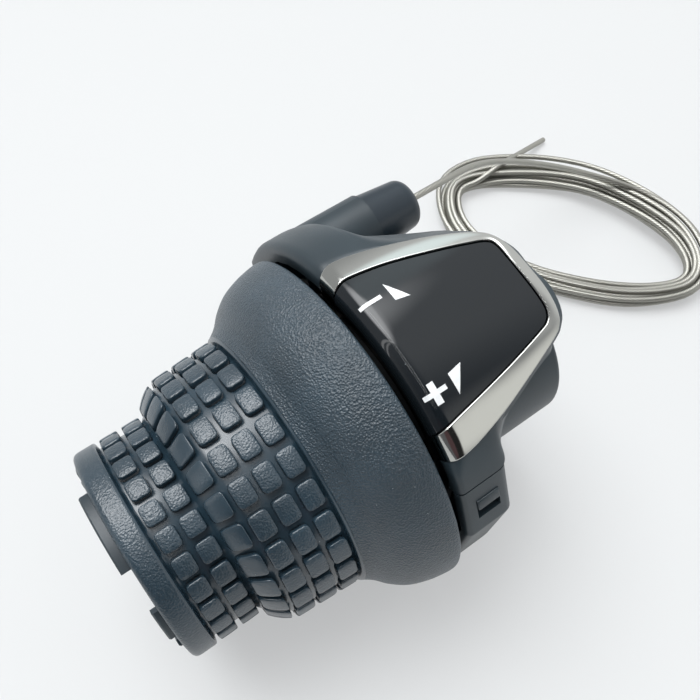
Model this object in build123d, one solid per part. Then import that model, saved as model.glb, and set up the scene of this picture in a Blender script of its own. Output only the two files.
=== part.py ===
"""Left-hand friction twist grip shifter for a bicycle handlebar, with its inner cable.

The handlebar runs along X: +X points inboard, Y points forward and Z points up. The origin is on the
bar's centre line, in the plane between the turning grip and the fixed housing. Angles round the bar are
measured from straight up towards the rider, who sits on the -Y side. All sizes are in millimetres.
"""
import math
import os
from build123d import *

os.makedirs("parts", exist_ok=True)

FULL_TURN = 360

# Handlebar and fits
BAR_DIAMETER = 22.2
BAR_CLEARANCE = 0.1
RUNNING_CLEARANCE = 0.08
SEAT_CLEARANCE = 0.05
MOVING_CLEARANCE = 0.4

# Base body: sleeve under the grip, wall behind the reel, clamp collar
SLEEVE_WALL = 1.6
SLEEVE_SETBACK = 0.6
BACK_WALL = 1.6
COLLAR_WALL = 5.1
COLLAR_LENGTH = 20.2
COLLAR_EDGE = 0.8

# Housing ring, which the covers and the base share
HOUSING_WALL = 1.8
HOUSING_FRONT = 1.0
HOUSING_EDGE = 0.9
FAR_LOBE_OFFSET = 5.4
FAR_LOBE_INSET = 3.4
FAR_LOBE_ANGLE = -61.0
POD_LEAN_ANGLE = 12.5
SEAM_ANGLE = 45.5
SEAM_FAR_ANGLE = 66.0
BASE_RIM_ANGLE = 51.5
SEAM_GAP = 0.2

# Pod of the top cover: lower edge of its skirt, then the crown that carries trim and panel
POD_WALL = 1.4
POD_LENGTH = 16.6
POD_WAIST_LENGTH = 5.7
SKIRT_WAIST_HALF = 14.4
SKIRT_TIP_HALF = 10.6
SKIRT_FAR_EXTRA = 1.9
CROWN_FRONT_HALF = 15.4
CROWN_SHOULDER_HALF = 14.3
CROWN_WAIST_HALF = 12.5
CROWN_TIP_HALF = 8.2
CROWN_TIP_SETBACK = 0.7
CROWN_DROP = 3.0
CROWN_MARGIN = 5.0
SEAT_STEP = 0.3
WAIST_ROUND = 6.0
TIP_ROUND = 3.2

# Panel and the bright trim round it
PANEL_THICKNESS = 1.2
LIP_ROUND = 2.2
LIP_SHARE = 0.9
TRIM_PROUD = 0.35
TRIM_WIDTH_FRONT = 3.6
TRIM_WIDTH_WAIST = 2.9
TRIM_WIDTH_TIP = 1.3
PANEL_CORNER = 2.2

# Snap hooks that hold the bottom cover
WINDOW_LENGTH = 4.2
WINDOW_ANGLE = 8.4
WINDOW_START_ANGLE = 6.2
HOOK_ANGLE = 4.0
TONGUE_ANGLE = 14.0
TONGUE_ROOT_ANGLE = 4.0
TONGUE_THICKNESS = 1.3

# Screws through the back wall into the bottom cover
SCREW_ANGLES = (130.0, 205.0)
SCREW_INSET = 3.2
SCREW_RADIUS = 1.2
SCREW_LENGTH = 6.0
SCREW_HEAD_RADIUS = 2.2
SCREW_HEAD_HEIGHT = 1.6
SCREW_RECESS = 0.7
SCREW_SLOT = 0.6
SCREW_SLOT_LENGTH = 3.0
BOSS_RADIUS = 2.6

# Clamp lugs, bolt and nut
LUG_ANGLE = 205.0
LUG_LENGTH = 12.0
LUG_THICKNESS = 6.0
LUG_HEIGHT = 8.0
LUG_ROOT = 3.5
LUG_FROM_END = 3.5
SLOT_WIDTH = 1.8
SLOT_FROM_WALL = 2.2
BOLT_RADIUS = 2.5
BOLT_HOLE_CLEARANCE = 0.2
BOLT_HEAD_RADIUS = 4.25
BOLT_HEAD_HEIGHT = 5.0
BOLT_KEY_FLATS = 4.0
BOLT_KEY_DEPTH = 2.6
WASHER_RADIUS = 4.8
WASHER_THICKNESS = 1.0
NUT_FLATS = 8.0
NUT_HEIGHT = 4.0
NUT_CLEARANCE = 0.15
HEX_SIDES = 6

# Turning core and the rubber moulded on it
CORE_WALL = 1.7
RUBBER_WALL = 1.6
RUBBER_CLEARANCE = 0.03
GRIP_GAP = 0.5
BULGE_PROUD = 0.5
BULGE_LENGTH = 12.9
BULGE_SHOULDER = 7.6
BULGE_SHOULDER_DROP = 1.3
BULGE_ROUND = 8.0
RIM_ROUND = 0.8
ROWS = 6
COLUMNS = 26
ROW_PITCH = 3.57
ROW_GAP = 0.9
GROOVE_DRAFT = 0.22
COLUMN_GAP_ANGLE = 3.4
COLUMN_EXTRA_DEPTH = 0.06
COLUMN_START_ANGLE = 8.4
NECK_CORE_WALL = 1.52
NECK_ROWS = 2
SHOULDER_RISE = 3.7
SHOULDER_FLARE = 0.7
BLOCK_HEIGHT = 0.9
FLANGE_PROUD = 0.1
FLANGE_LENGTH = 3.9
FLANGE_ROUND = 1.1
CORE_FLANGE_PROUD = 1.4
CORE_FLANGE_LENGTH = 1.8
TAB_COUNT = 6
TAB_ANGLE = 46.0
TAB_LENGTH = 1.45
TAB_SHORT_LENGTH = 1.0
TAB_SHORT_ANGLE = 30.0
TAB_STEP = 0.25
TAB_CENTRE_ANGLE = 1.5

# Ring and washer that keep the core on the sleeve
RECESS_WIDTH = 1.22
RECESS_DEPTH = 2.6
RING_GROOVE_DEPTH = 0.5
RING_THICKNESS = 0.8
RING_PROUD = 0.9
RING_SPLIT_ANGLE = 30.0
THRUST_THICKNESS = 0.6

# Cable reel inside the housing, keyed to the core, and its friction parts
REEL_FLANGE_HEIGHT = 2.3
REEL_GAP = 0.6
REEL_BACK_GAP = 0.5
REEL_WIDTH = 6.0
REEL_FRONT = 0.7
GROOVE_WIDTH = 2.0
REEL_RECESS_DEPTH = 2.0
DOG_COUNT = 3
DOG_ANGLE = 30.0
DOG_LENGTH = 2.4
DOG_CLEARANCE = 0.1
FRICTION_WIDTH = 2.1
FRICTION_CLEARANCE = 0.3
FRICTION_THICKNESS = 0.6
SPRING_THICKNESS = 0.6

# Inner cable, its end fitting and its way out
CABLE_DIAMETER = 1.2
CABLE_SEAT = 0.3
NIPPLE_DIAMETER = 4.0
NIPPLE_LENGTH = 4.0
NIPPLE_FLOOR = 0.1
NIPPLE_CLEARANCE = 0.1
WRAP_ANGLE = 70.0
WRAP_START_ANGLE = 1.5
OUTLET_INSET = 2.5
OUTLET_RISE = 6.5
GUIDE_BEND = 6.5
GUIDE_DIAMETER = 3.0
GUIDE_BORE_CLEARANCE = 0.3
HORN_RADIUS = 5.5
HORN_LENGTH = 12.0
SPIGOT_RADIUS = 3.2
SPIGOT_LENGTH = 3.0
BARREL_RADIUS = 5.2
BARREL_TAPER = 0.9
BARREL_LENGTH = 9.2
BARREL_ROUND = 2.0
CASING_SOCKET_RADIUS = 2.1
CASING_SOCKET_DEPTH = 5.0

# Free cable: the run from the barrel to the coil, the coil on the table and its loose end
RUN_LEAD = 8.0
RUN_POINTS = ((47, 27.3, 2.6), (57, 28.6, -4), (68, 28, -11.5), (78, 26.2, -18.6), (84.6, 22.6, -23.4))
TAIL_POINTS = ((65.5, 39.3, -22.8), (75.4, 40.6, -25.2), (85.8, 41.8, -27.2))
BEND_SHARE = 0.45
COIL_X = 71.2
COIL_Y = 17.7
COIL_TURN = -58.3
COIL_HALF_LENGTH = 31.8
COIL_HALF_WIDTH = 17.5
COIL_BAND = 6.5
COIL_HEIGHT = 6.0

# Sizes that follow from the ones above
bore_r = BAR_DIAMETER / 2 + BAR_CLEARANCE
sleeve_r = bore_r + SLEEVE_WALL
core_bore = sleeve_r + RUNNING_CLEARANCE
core_r = core_bore + CORE_WALL
collar_r = bore_r + COLLAR_WALL
cable_r = CABLE_DIAMETER / 2
friction_r = sleeve_r + FRICTION_WIDTH
reel_recess_r = friction_r + FRICTION_CLEARANCE
reel_pitch_r = friction_r + NIPPLE_FLOOR + NIPPLE_DIAMETER / 2
reel_flange_r = reel_pitch_r + REEL_FLANGE_HEIGHT
groove_floor = reel_pitch_r - cable_r - CABLE_SEAT
reel_back = REEL_FRONT + REEL_WIDTH
reel_middle = REEL_FRONT + REEL_WIDTH / 2
screw_circle = reel_flange_r + REEL_GAP + BOSS_RADIUS
housing_inner = screw_circle + SCREW_INSET
housing_r = housing_inner + HOUSING_WALL
wall_front = reel_back + REEL_BACK_GAP
housing_end = wall_front + BACK_WALL
housing_length = housing_end - HOUSING_FRONT
collar_end = housing_end + COLLAR_LENGTH
pod_waist = housing_end + POD_WAIST_LENGTH
pod_tip = housing_end + POD_LENGTH
seat_r = housing_r - SEAT_STEP
crown_level = housing_r - CROWN_DROP
crown_top = housing_r + CROWN_MARGIN
seam_half = housing_r * math.sin(math.radians(SEAM_ANGLE))
seam_level = housing_r * math.cos(math.radians(SEAM_ANGLE))
seam_near = POD_LEAN_ANGLE + SEAM_ANGLE
seam_far = POD_LEAN_ANGLE - SEAM_FAR_ANGLE
seam_low = seam_far - BASE_RIM_ANGLE
half_gap = math.degrees(SEAM_GAP / housing_r) / 2
bulge_r = housing_r + BULGE_PROUD
bulge_shoulder_r = bulge_r - BULGE_SHOULDER_DROP
neck_core_r = core_bore + NECK_CORE_WALL
neck_r = neck_core_r + RUBBER_WALL + BLOCK_HEIGHT
shoulder_r = neck_r + SHOULDER_RISE
flange_r = neck_r + FLANGE_PROUD
core_flange_r = neck_core_r + CORE_FLANGE_PROUD
recess_r = core_bore + RECESS_WIDTH
ring_r = sleeve_r + RING_PROUD
rim_x = -GRIP_GAP
tread_end = rim_x - BULGE_LENGTH
tread_start = tread_end - ROWS * ROW_PITCH
grip_end = tread_start - FLANGE_LENGTH
shoulder_start = tread_start + (NECK_ROWS + 1) * ROW_PITCH
sleeve_end = grip_end + SLEEVE_SETBACK
recess_end = grip_end + RECESS_DEPTH
outlet_y = housing_r - OUTLET_INSET
outlet_r = math.hypot(outlet_y, OUTLET_RISE)
horn_end = housing_end + HORN_LENGTH
barrel_end = horn_end + BARREL_LENGTH
floor_z = -bulge_r


def section(points):
    """A closed face from points of (along the bar, distance from its axis, corner rounding)."""
    corners = [(x, r) for x, r, rounding in points]
    roundings = [rounding for x, r, rounding in points]
    return make_face(FilletPolyline(*corners, radius=roundings, close=True))


def plain(*corners):
    """A closed face with sharp corners."""
    return make_face(Polyline(*corners, close=True))


def tube(start, end, inner, outer):
    """The section of a plain tube round the bar."""
    return plain((start, inner), (end, inner), (end, outer), (start, outer))


def turned(face):
    """A solid of revolution about the bar's axis."""
    return revolve(face, Axis.X)


def sector(face, start, end):
    """A piece of a ring between two angles."""
    return Rot(X=start + 90) * revolve(face, Axis.X, end - start)


def rod(start, length, radius, y=0.0, z=0.0):
    """A round rod along X."""
    return Pos(start + length / 2, y, z) * Rot(Y=90) * Cylinder(radius, length)


def pipe(path, radius):
    """A round solid along a path."""
    return sweep(Plane(origin=path @ 0, z_dir=path % 0) * Circle(radius), path=path)


def bent(points):
    """A path of straight runs with each arc as large as its two runs allow, and the arcs' radii."""
    spots = [Vector(*point) for point in points]
    radii = []
    for before, corner, after in zip(spots, spots[1:], spots[2:]):
        turn = (corner - before).get_angle(after - corner)
        shorter = min((corner - before).length, (after - corner).length)
        radii.append(BEND_SHARE * shorter / math.tan(math.radians(turn) / 2))
    return FilletPolyline(*points, radius=radii), radii


def tread_radius(x):
    """Radius of the block tops: a straight neck, a ramp one row long, then a flared shoulder."""
    ramp_start = shoulder_start - ROW_PITCH
    if x <= ramp_start:
        return neck_r
    if x <= shoulder_start:
        return neck_r + (shoulder_r - neck_r) * (x - ramp_start) / ROW_PITCH
    return shoulder_r + SHOULDER_FLARE * (x - shoulder_start) / (tread_end - shoulder_start)


# Where the cable leaves the reel on its way to the outlet
tangent_angle = math.atan2(outlet_y, OUTLET_RISE) - math.acos(reel_pitch_r / outlet_r)
tangent_point = Vector(
    reel_middle, reel_pitch_r * math.sin(tangent_angle), reel_pitch_r * math.cos(tangent_angle)
)
outlet_corner = Vector(reel_middle, outlet_y, OUTLET_RISE)
towards_outlet = (outlet_corner - tangent_point).normalized()
tangent_at = -math.degrees(tangent_angle)
bend_start = outlet_corner - towards_outlet * GUIDE_BEND


def guide_path(start, end_x):
    """The cable's bend from the reel's tangent to the outlet's axis, ending at one place along the bar."""
    return FilletPolyline(start, outlet_corner, (end_x, outlet_y, OUTLET_RISE), radius=GUIDE_BEND)


def hook(seam, towards):
    """A tongue past a seam with a hook that stands in the bottom cover's window."""
    gap = SEAT_CLEARANCE * 2
    length = (wall_front - HOUSING_FRONT) - 2 * gap
    start = HOUSING_FRONT + gap
    tongue_r = housing_inner - gap
    first, last = sorted((seam - towards * TONGUE_ROOT_ANGLE, seam + towards * TONGUE_ANGLE))
    tongue = sector(tube(start, start + length, tongue_r - TONGUE_THICKNESS, tongue_r), first, last)
    first, last = sorted((seam - towards * TONGUE_ROOT_ANGLE, seam - towards * half_gap))
    root = sector(tube(start, start + length, tongue_r - gap, housing_inner + gap), first, last)
    middle = HOUSING_FRONT + housing_length / 2
    half = WINDOW_LENGTH / 2 - gap
    near = seam + towards * (WINDOW_START_ANGLE + half_gap)
    first, last = sorted((near, near + towards * HOOK_ANGLE))
    nose = sector(tube(middle - half, middle + half, tongue_r - gap, housing_r - gap), first, last)
    return tongue + root + nose


def window(seam, towards):
    """The opening in the bottom cover that a hook stands in."""
    middle = HOUSING_FRONT + housing_length / 2
    half = WINDOW_LENGTH / 2
    near = seam + towards * WINDOW_START_ANGLE
    first, last = sorted((near, near + towards * WINDOW_ANGLE))
    deep = HOUSING_WALL * 2
    opening = tube(middle - half, middle + half, housing_r - deep, housing_r + deep)
    return sector(opening, first, last)


def housing_drum(radius):
    """A plain drum as long as the housing, with its edges rounded."""
    return turned(section([
        (HOUSING_FRONT, 0, 0),
        (housing_end, 0, 0),
        (housing_end, radius, HOUSING_EDGE),
        (HOUSING_FRONT, radius, HOUSING_EDGE),
    ]))


def housing_ring(start, end):
    """A piece of the housing's outer wall, open by half a gap at each seam, with a lobe on the far side."""
    lobe = housing_drum(housing_r - FAR_LOBE_INSET)
    form = housing_drum(housing_r) + Rot(X=FAR_LOBE_ANGLE) * Pos(0, 0, FAR_LOBE_OFFSET) * lobe
    wall = tube(HOUSING_FRONT, housing_end, housing_inner, housing_r + FAR_LOBE_OFFSET)
    return sector(wall, start + half_gap, end - half_gap) & form


def lug_frame(piece):
    """Places a piece that is modelled with the clamp lugs pointing straight up."""
    return Rot(X=LUG_ANGLE) * piece


lug_middle = collar_end - LUG_FROM_END - LUG_LENGTH / 2
bolt_level = collar_r + LUG_HEIGHT / 2
lug_face = SLOT_WIDTH / 2 + LUG_THICKNESS


def cross_rod(start, length, radius):
    """A round rod across the clamp lugs, along Y, on the bolt's axis."""
    return Pos(lug_middle, start + length / 2, bolt_level) * Rot(X=90) * Cylinder(radius, length)


def cross_prism(start, length, flats):
    """A six-sided prism across the clamp lugs, along Y, on the bolt's axis."""
    outline = RegularPolygon(flats / 2, HEX_SIDES, major_radius=False)
    prism = extrude(outline, length / 2, both=True)
    return Pos(lug_middle, start + length / 2, bolt_level) * Rot(X=90) * prism


def screw_places():
    """Places on the screw circle of the back wall."""
    return [Rot(X=angle) * Pos(0, 0, screw_circle) for angle in SCREW_ANGLES]


def make_base_body():
    """Sleeve, back wall, clamp collar with its lugs, far rim and the horn that leads the cable out."""
    wall_r = housing_inner - SEAT_CLEARANCE * 2
    body = turned(section([
        (sleeve_end, bore_r, 0),
        (collar_end, bore_r, 0),
        (collar_end, collar_r, COLLAR_EDGE),
        (housing_end, collar_r, 0),
        (housing_end, wall_r, 0),
        (wall_front, wall_r, 0),
        (wall_front, sleeve_r, 0),
        (sleeve_end, sleeve_r, 0),
    ]))
    horn_start = bend_start - towards_outlet * SEAT_CLEARANCE
    horn = pipe(guide_path(horn_start, horn_end), HORN_RADIUS)
    spread = HORN_RADIUS * 2
    reel_space = reel_flange_r + MOVING_CLEARANCE * 2
    horn -= turned(tube(HOUSING_FRONT - spread, wall_front, 0, reel_space))
    horn -= turned(tube(HOUSING_FRONT - spread, HOUSING_FRONT, 0, outlet_r + spread))
    body += horn
    body += rod(horn_end, SPIGOT_LENGTH, SPIGOT_RADIUS, outlet_y, OUTLET_RISE)
    body += housing_ring(seam_low, seam_far)
    body += sector(tube(wall_front, housing_end, wall_r - HOUSING_WALL, housing_inner + HOUSING_WALL / 2),
                   seam_low + half_gap, seam_far - half_gap)
    body += hook(seam_low, -1)
    lug_centre = collar_r + (LUG_HEIGHT - LUG_ROOT) / 2
    lugs = Pos(lug_middle, 0, lug_centre) * Box(LUG_LENGTH, 2 * lug_face, LUG_HEIGHT + LUG_ROOT)
    slot_start = housing_end + SLOT_FROM_WALL
    slot_reach = collar_r + LUG_HEIGHT * 2
    slot = Pos((slot_start + collar_end) / 2 + SLOT_WIDTH, 0, (bore_r + slot_reach) / 2 - SLOT_WIDTH) * Box(
        collar_end - slot_start + 2 * SLOT_WIDTH, SLOT_WIDTH, slot_reach - bore_r
    )
    lugs -= slot
    lugs -= cross_rod(-lug_face * 2, lug_face * 4, BOLT_RADIUS + BOLT_HOLE_CLEARANCE)
    lugs -= cross_prism(lug_face - NUT_HEIGHT, NUT_HEIGHT * 2, NUT_FLATS + 2 * NUT_CLEARANCE)
    body -= lug_frame(slot)
    body += lug_frame(lugs)
    body -= rod(sleeve_end - SLEEVE_WALL, collar_end - sleeve_end + 2 * SLEEVE_WALL, bore_r)
    body -= pipe(guide_path(horn_start - towards_outlet * HORN_RADIUS, horn_end + 2 * SPIGOT_LENGTH),
                 GUIDE_DIAMETER / 2 + SEAT_CLEARANCE)
    ring_start = recess_end - THRUST_THICKNESS - RING_THICKNESS - 2 * SEAT_CLEARANCE
    body -= turned(tube(ring_start - SEAT_CLEARANCE, ring_start + RING_THICKNESS + SEAT_CLEARANCE,
                        sleeve_r - RING_GROOVE_DEPTH, sleeve_r + SLEEVE_WALL))
    for place in screw_places():
        body -= place * rod(wall_front - BACK_WALL, BACK_WALL * 3, SCREW_RADIUS + SEAT_CLEARANCE)
    return body


def mirrored(half, far_extra):
    """A closed outline from its rider's-side half, wider by so much on the far side of the pod."""
    return half + [(x, -y - far_extra, rounding) for x, y, rounding in reversed(half)]


def plan(half, level, far_extra=0):
    """A flat face of the pod's outline at one height."""
    points = mirrored(half, far_extra)
    corners = [(x, y, level) for x, y, rounding in points]
    return make_face(FilletPolyline(*corners, radius=[rounding for x, y, rounding in points], close=True))


def skirt_half(inset):
    """The skirt's lower outline, taken in by a wall."""
    return [
        (HOUSING_FRONT, seam_half - inset, 0),
        (housing_end, seam_half - inset, HOUSING_EDGE),
        (pod_waist, SKIRT_WAIST_HALF - inset, WAIST_ROUND),
        (pod_tip - inset, SKIRT_TIP_HALF - inset, TIP_ROUND),
    ]


def crown_half(inset):
    """The crown's outline, taken in by a wall."""
    return [
        (HOUSING_FRONT, CROWN_FRONT_HALF - inset, 0),
        (housing_end, CROWN_SHOULDER_HALF - inset, HOUSING_EDGE),
        (pod_waist, CROWN_WAIST_HALF - inset, WAIST_ROUND),
        (pod_tip - CROWN_TIP_SETBACK - inset, CROWN_TIP_HALF - inset, TIP_ROUND),
    ]


def panel_half(clearance):
    """The panel's outline inside the trim, run out past the lip."""
    return [
        (HOUSING_FRONT - 2 * TRIM_PROUD, CROWN_FRONT_HALF - TRIM_WIDTH_FRONT - clearance, 0),
        (pod_waist, CROWN_WAIST_HALF - TRIM_WIDTH_WAIST - clearance, WAIST_ROUND),
        (pod_tip - CROWN_TIP_SETBACK - TRIM_WIDTH_TIP - clearance,
         CROWN_TIP_HALF - TRIM_WIDTH_TIP - clearance, PANEL_CORNER),
    ]



def pod_block(inset):
    """The pod's outer form, or its hollow when taken in: a flared skirt with an upright crown on it."""
    skirt_plan = plan(skirt_half(inset), seam_level, SKIRT_FAR_EXTRA)
    skirt = loft([skirt_plan, plan(crown_half(inset), crown_level)], ruled=True)
    crown = extrude(plan(crown_half(inset), crown_level), crown_top - crown_level)
    return skirt + crown


def lip_section(front, low, inner, outer, rounding):
    """Section of what lies over the pod: along its top and down over the lip by the grip."""
    thickness = outer - inner
    end = pod_tip + POD_WALL
    lip = min(rounding, LIP_SHARE * (outer - low))
    return section([
        (front, low, 0),
        (front, outer, lip),
        (end, outer, 0),
        (end, inner, 0),
        (front + thickness, inner, 0),
        (front + thickness, low, 0),
    ])


def make_top_cover():
    """Upper housing: its share of the ring, the hollow pod and the hook for the bottom cover."""
    cover = pod_block(0) & turned(tube(HOUSING_FRONT, pod_tip + POD_WALL, 0, seat_r))
    cover -= pod_block(POD_WALL) & turned(tube(wall_front, pod_tip, 0, seat_r - POD_WALL))
    cover = Rot(X=POD_LEAN_ANGLE) * cover
    cover += housing_ring(seam_far, seam_near)
    cover -= turned(tube(HOUSING_FRONT - POD_WALL, housing_end, 0, housing_inner))
    seat_section = lip_section(HOUSING_FRONT - TRIM_PROUD, housing_inner - POD_WALL, seat_r,
                               seat_r + PANEL_THICKNESS + TRIM_PROUD, 0)
    seat = extrude(plan(crown_half(-SEAT_CLEARANCE), seam_level), crown_top)
    cover -= Rot(X=POD_LEAN_ANGLE) * (seat & turned(seat_section))
    cover += hook(seam_near, 1)
    return cover


def make_bottom_cover():
    """Lower housing: the rest of the ring, with a window for each hook and a boss for each screw."""
    cover = housing_ring(seam_near, seam_low + FULL_TURN)
    inside = turned(tube(HOUSING_FRONT, housing_end, 0, housing_r - HOUSING_WALL / 2))
    boss_length = wall_front - SEAT_CLEARANCE - HOUSING_FRONT
    depth = SCREW_LENGTH - BACK_WALL
    for place in screw_places():
        boss = rod(HOUSING_FRONT, boss_length, BOSS_RADIUS)
        boss += Pos(HOUSING_FRONT + boss_length / 2, 0, BOSS_RADIUS) * Box(
            boss_length, 2 * BOSS_RADIUS, 2 * BOSS_RADIUS
        )
        cover += place * boss & inside
        cover -= place * rod(wall_front - depth - SEAT_CLEARANCE, depth * 2, SCREW_RADIUS)
    cover -= window(seam_near, 1)
    cover -= window(seam_low + FULL_TURN, -1)
    return cover


def make_display_panel():
    """Glossy panel on the pod, rounded down over the lip by the grip."""
    low = housing_inner + SEAT_CLEARANCE
    top = seat_r + PANEL_THICKNESS
    outline = extrude(plan(panel_half(SEAT_CLEARANCE), seam_level), crown_top)
    body = turned(lip_section(HOUSING_FRONT, low, seat_r + SEAT_CLEARANCE, top, LIP_ROUND))
    return Rot(X=POD_LEAN_ANGLE) * (outline & body)


def make_chrome_trim():
    """Bright strip round three sides of the panel, its ends bent down over the lip."""
    low = housing_inner + SEAT_CLEARANCE
    top = seat_r + PANEL_THICKNESS + TRIM_PROUD
    front = HOUSING_FRONT - TRIM_PROUD
    outline = extrude(plan([(front, CROWN_FRONT_HALF, 0)] + crown_half(0)[1:], seam_level), crown_top)
    outline -= extrude(plan(panel_half(0), 0), 2 * crown_top)
    body = turned(lip_section(front, low, seat_r + SEAT_CLEARANCE, top, LIP_ROUND + TRIM_PROUD))
    return Rot(X=POD_LEAN_ANGLE) * (outline & body)


def make_cable_guide():
    """Bent liner that leads the cable from the reel to the barrel."""
    path = guide_path(bend_start - towards_outlet * SEAT_CLEARANCE, horn_end + SPIGOT_LENGTH)
    return pipe(path, GUIDE_DIAMETER / 2) - pipe(path, cable_r + GUIDE_BORE_CLEARANCE)


def make_cable_stop():
    """Barrel at the horn's end, with a socket for the cable's outer casing."""
    spigot_end = horn_end + SPIGOT_LENGTH + SEAT_CLEARANCE
    socket_start = barrel_end - CASING_SOCKET_DEPTH
    bore = cable_r + GUIDE_BORE_CLEARANCE
    barrel = turned(section([
        (horn_end + SEAT_CLEARANCE, SPIGOT_RADIUS + SEAT_CLEARANCE, 0),
        (spigot_end, SPIGOT_RADIUS + SEAT_CLEARANCE, 0),
        (spigot_end, bore, 0),
        (socket_start, bore, 0),
        (socket_start, CASING_SOCKET_RADIUS, 0),
        (barrel_end, CASING_SOCKET_RADIUS, 0),
        (barrel_end, BARREL_RADIUS - BARREL_TAPER, BARREL_ROUND),
        (horn_end + SEAT_CLEARANCE, BARREL_RADIUS, SEAT_CLEARANCE),
    ]))
    return Pos(0, outlet_y, OUTLET_RISE) * barrel


def make_clamp_bolt():
    """Socket-head bolt across the clamp lugs."""
    seat = -lug_face - WASHER_THICKNESS
    head = cross_rod(seat - BOLT_HEAD_HEIGHT, BOLT_HEAD_HEIGHT, BOLT_HEAD_RADIUS)
    head -= cross_prism(seat - BOLT_HEAD_HEIGHT, BOLT_KEY_DEPTH, BOLT_KEY_FLATS)
    return lug_frame(head + cross_rod(seat, lug_face * 2 + WASHER_THICKNESS, BOLT_RADIUS))


def make_clamp_washer():
    """Flat washer under the bolt's head."""
    ring = cross_rod(-lug_face - WASHER_THICKNESS, WASHER_THICKNESS, WASHER_RADIUS)
    return lug_frame(ring - cross_rod(-lug_face * 2, lug_face * 4, BOLT_RADIUS + BOLT_HOLE_CLEARANCE))


def make_clamp_nut():
    """Six-sided nut held in a pocket of the lug."""
    nut = cross_prism(lug_face - NUT_HEIGHT, NUT_HEIGHT, NUT_FLATS)
    return lug_frame(nut - cross_rod(-lug_face * 2, lug_face * 4, BOLT_RADIUS))


def make_cover_screws():
    """Two small screws through the back wall."""
    screw = rod(housing_end - SCREW_LENGTH, SCREW_LENGTH, SCREW_RADIUS)
    head = rod(housing_end, SCREW_HEAD_HEIGHT, SCREW_HEAD_RADIUS)
    cut_at = housing_end + SCREW_HEAD_HEIGHT - SCREW_RECESS / 2
    head -= Pos(cut_at, 0, 0) * Box(SCREW_RECESS, SCREW_SLOT_LENGTH, SCREW_SLOT)
    head -= Pos(cut_at, 0, 0) * Box(SCREW_RECESS, SCREW_SLOT, SCREW_SLOT_LENGTH)
    return [place * (screw + head) for place in screw_places()]


def make_friction_washer():
    """Fibre ring that rubs on the reel."""
    start = reel_back - REEL_RECESS_DEPTH + SEAT_CLEARANCE
    bore = sleeve_r + FRICTION_CLEARANCE
    return turned(tube(start, start + FRICTION_THICKNESS, bore, friction_r))


def make_friction_spring():
    """Conical disc spring between the friction washer and the back wall."""
    start = reel_back - REEL_RECESS_DEPTH + FRICTION_THICKNESS + 2 * SEAT_CLEARANCE
    end = wall_front - SEAT_CLEARANCE
    bore = sleeve_r + FRICTION_CLEARANCE
    return turned(plain(
        (end - SPRING_THICKNESS, bore),
        (end, bore),
        (start + SPRING_THICKNESS, friction_r),
        (start, friction_r),
    ))


def make_thrust_washer():
    """Thin ring between the core's recess and the retaining ring."""
    start = recess_end - THRUST_THICKNESS - SEAT_CLEARANCE
    return turned(tube(start, start + THRUST_THICKNESS, core_bore, ring_r))


def make_retaining_ring():
    """Split steel ring in the sleeve's groove."""
    start = recess_end - THRUST_THICKNESS - RING_THICKNESS - 2 * SEAT_CLEARANCE
    groove_r = sleeve_r - RING_GROOVE_DEPTH + SEAT_CLEARANCE
    ring = tube(start, start + RING_THICKNESS, groove_r, ring_r)
    return sector(ring, RING_SPLIT_ANGLE / 2, FULL_TURN - RING_SPLIT_ANGLE / 2)


def core_outline():
    """Outer surface of the core from the tread to the rim, one rubber wall inside the rubber."""
    depth = BLOCK_HEIGHT + RUBBER_WALL
    return [
        (shoulder_start - ROW_PITCH, neck_r - depth, 0),
        (shoulder_start, shoulder_r - depth, 0),
        (tread_end, shoulder_r + SHOULDER_FLARE - depth, 0),
        (-BULGE_SHOULDER, bulge_shoulder_r - depth, 0),
        (rim_x, bulge_r - depth, 0),
    ]


def make_grip_core():
    """Plastic tube that turns on the sleeve, with a skirt under the rubber bulge and end tabs."""
    skirt = core_outline()
    tube_end = REEL_FRONT - SEAT_CLEARANCE
    hollow = [(x, r - CORE_WALL, 0) for x, r, rounding in skirt[1:]]
    core = turned(section([
        (grip_end, recess_r, 0),
        (recess_end, recess_r, 0),
        (recess_end, core_bore, 0),
        (tube_end, core_bore, 0),
        (tube_end, core_r, 0),
        (hollow[0][0], core_r, 0),
        *hollow,
        *reversed(skirt),
        (grip_end + CORE_FLANGE_LENGTH, neck_core_r, 0),
        (grip_end + CORE_FLANGE_LENGTH, core_flange_r, 0),
        (grip_end, core_flange_r, 0),
    ]))
    for index in range(TAB_COUNT):
        middle = TAB_CENTRE_ANGLE + index * FULL_TURN / TAB_COUNT
        length = TAB_SHORT_LENGTH if index % 2 else TAB_LENGTH
        tab = tube(grip_end - length, grip_end + TAB_LENGTH / 2,
                   recess_r + TAB_STEP, core_flange_r - TAB_STEP)
        half_tab = (TAB_SHORT_ANGLE if index % 2 else TAB_ANGLE) / 2
        core += sector(tab, middle - half_tab, middle + half_tab)
    notch_half = DOG_ANGLE / 2 + math.degrees(DOG_CLEARANCE / core_bore)
    for index in range(DOG_COUNT):
        middle = index * FULL_TURN / DOG_COUNT
        notch = tube(tube_end - DOG_LENGTH, reel_back, core_bore - CORE_WALL / 2, core_r + CORE_WALL)
        core -= sector(notch, middle - notch_half, middle + notch_half)
    return core


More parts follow.
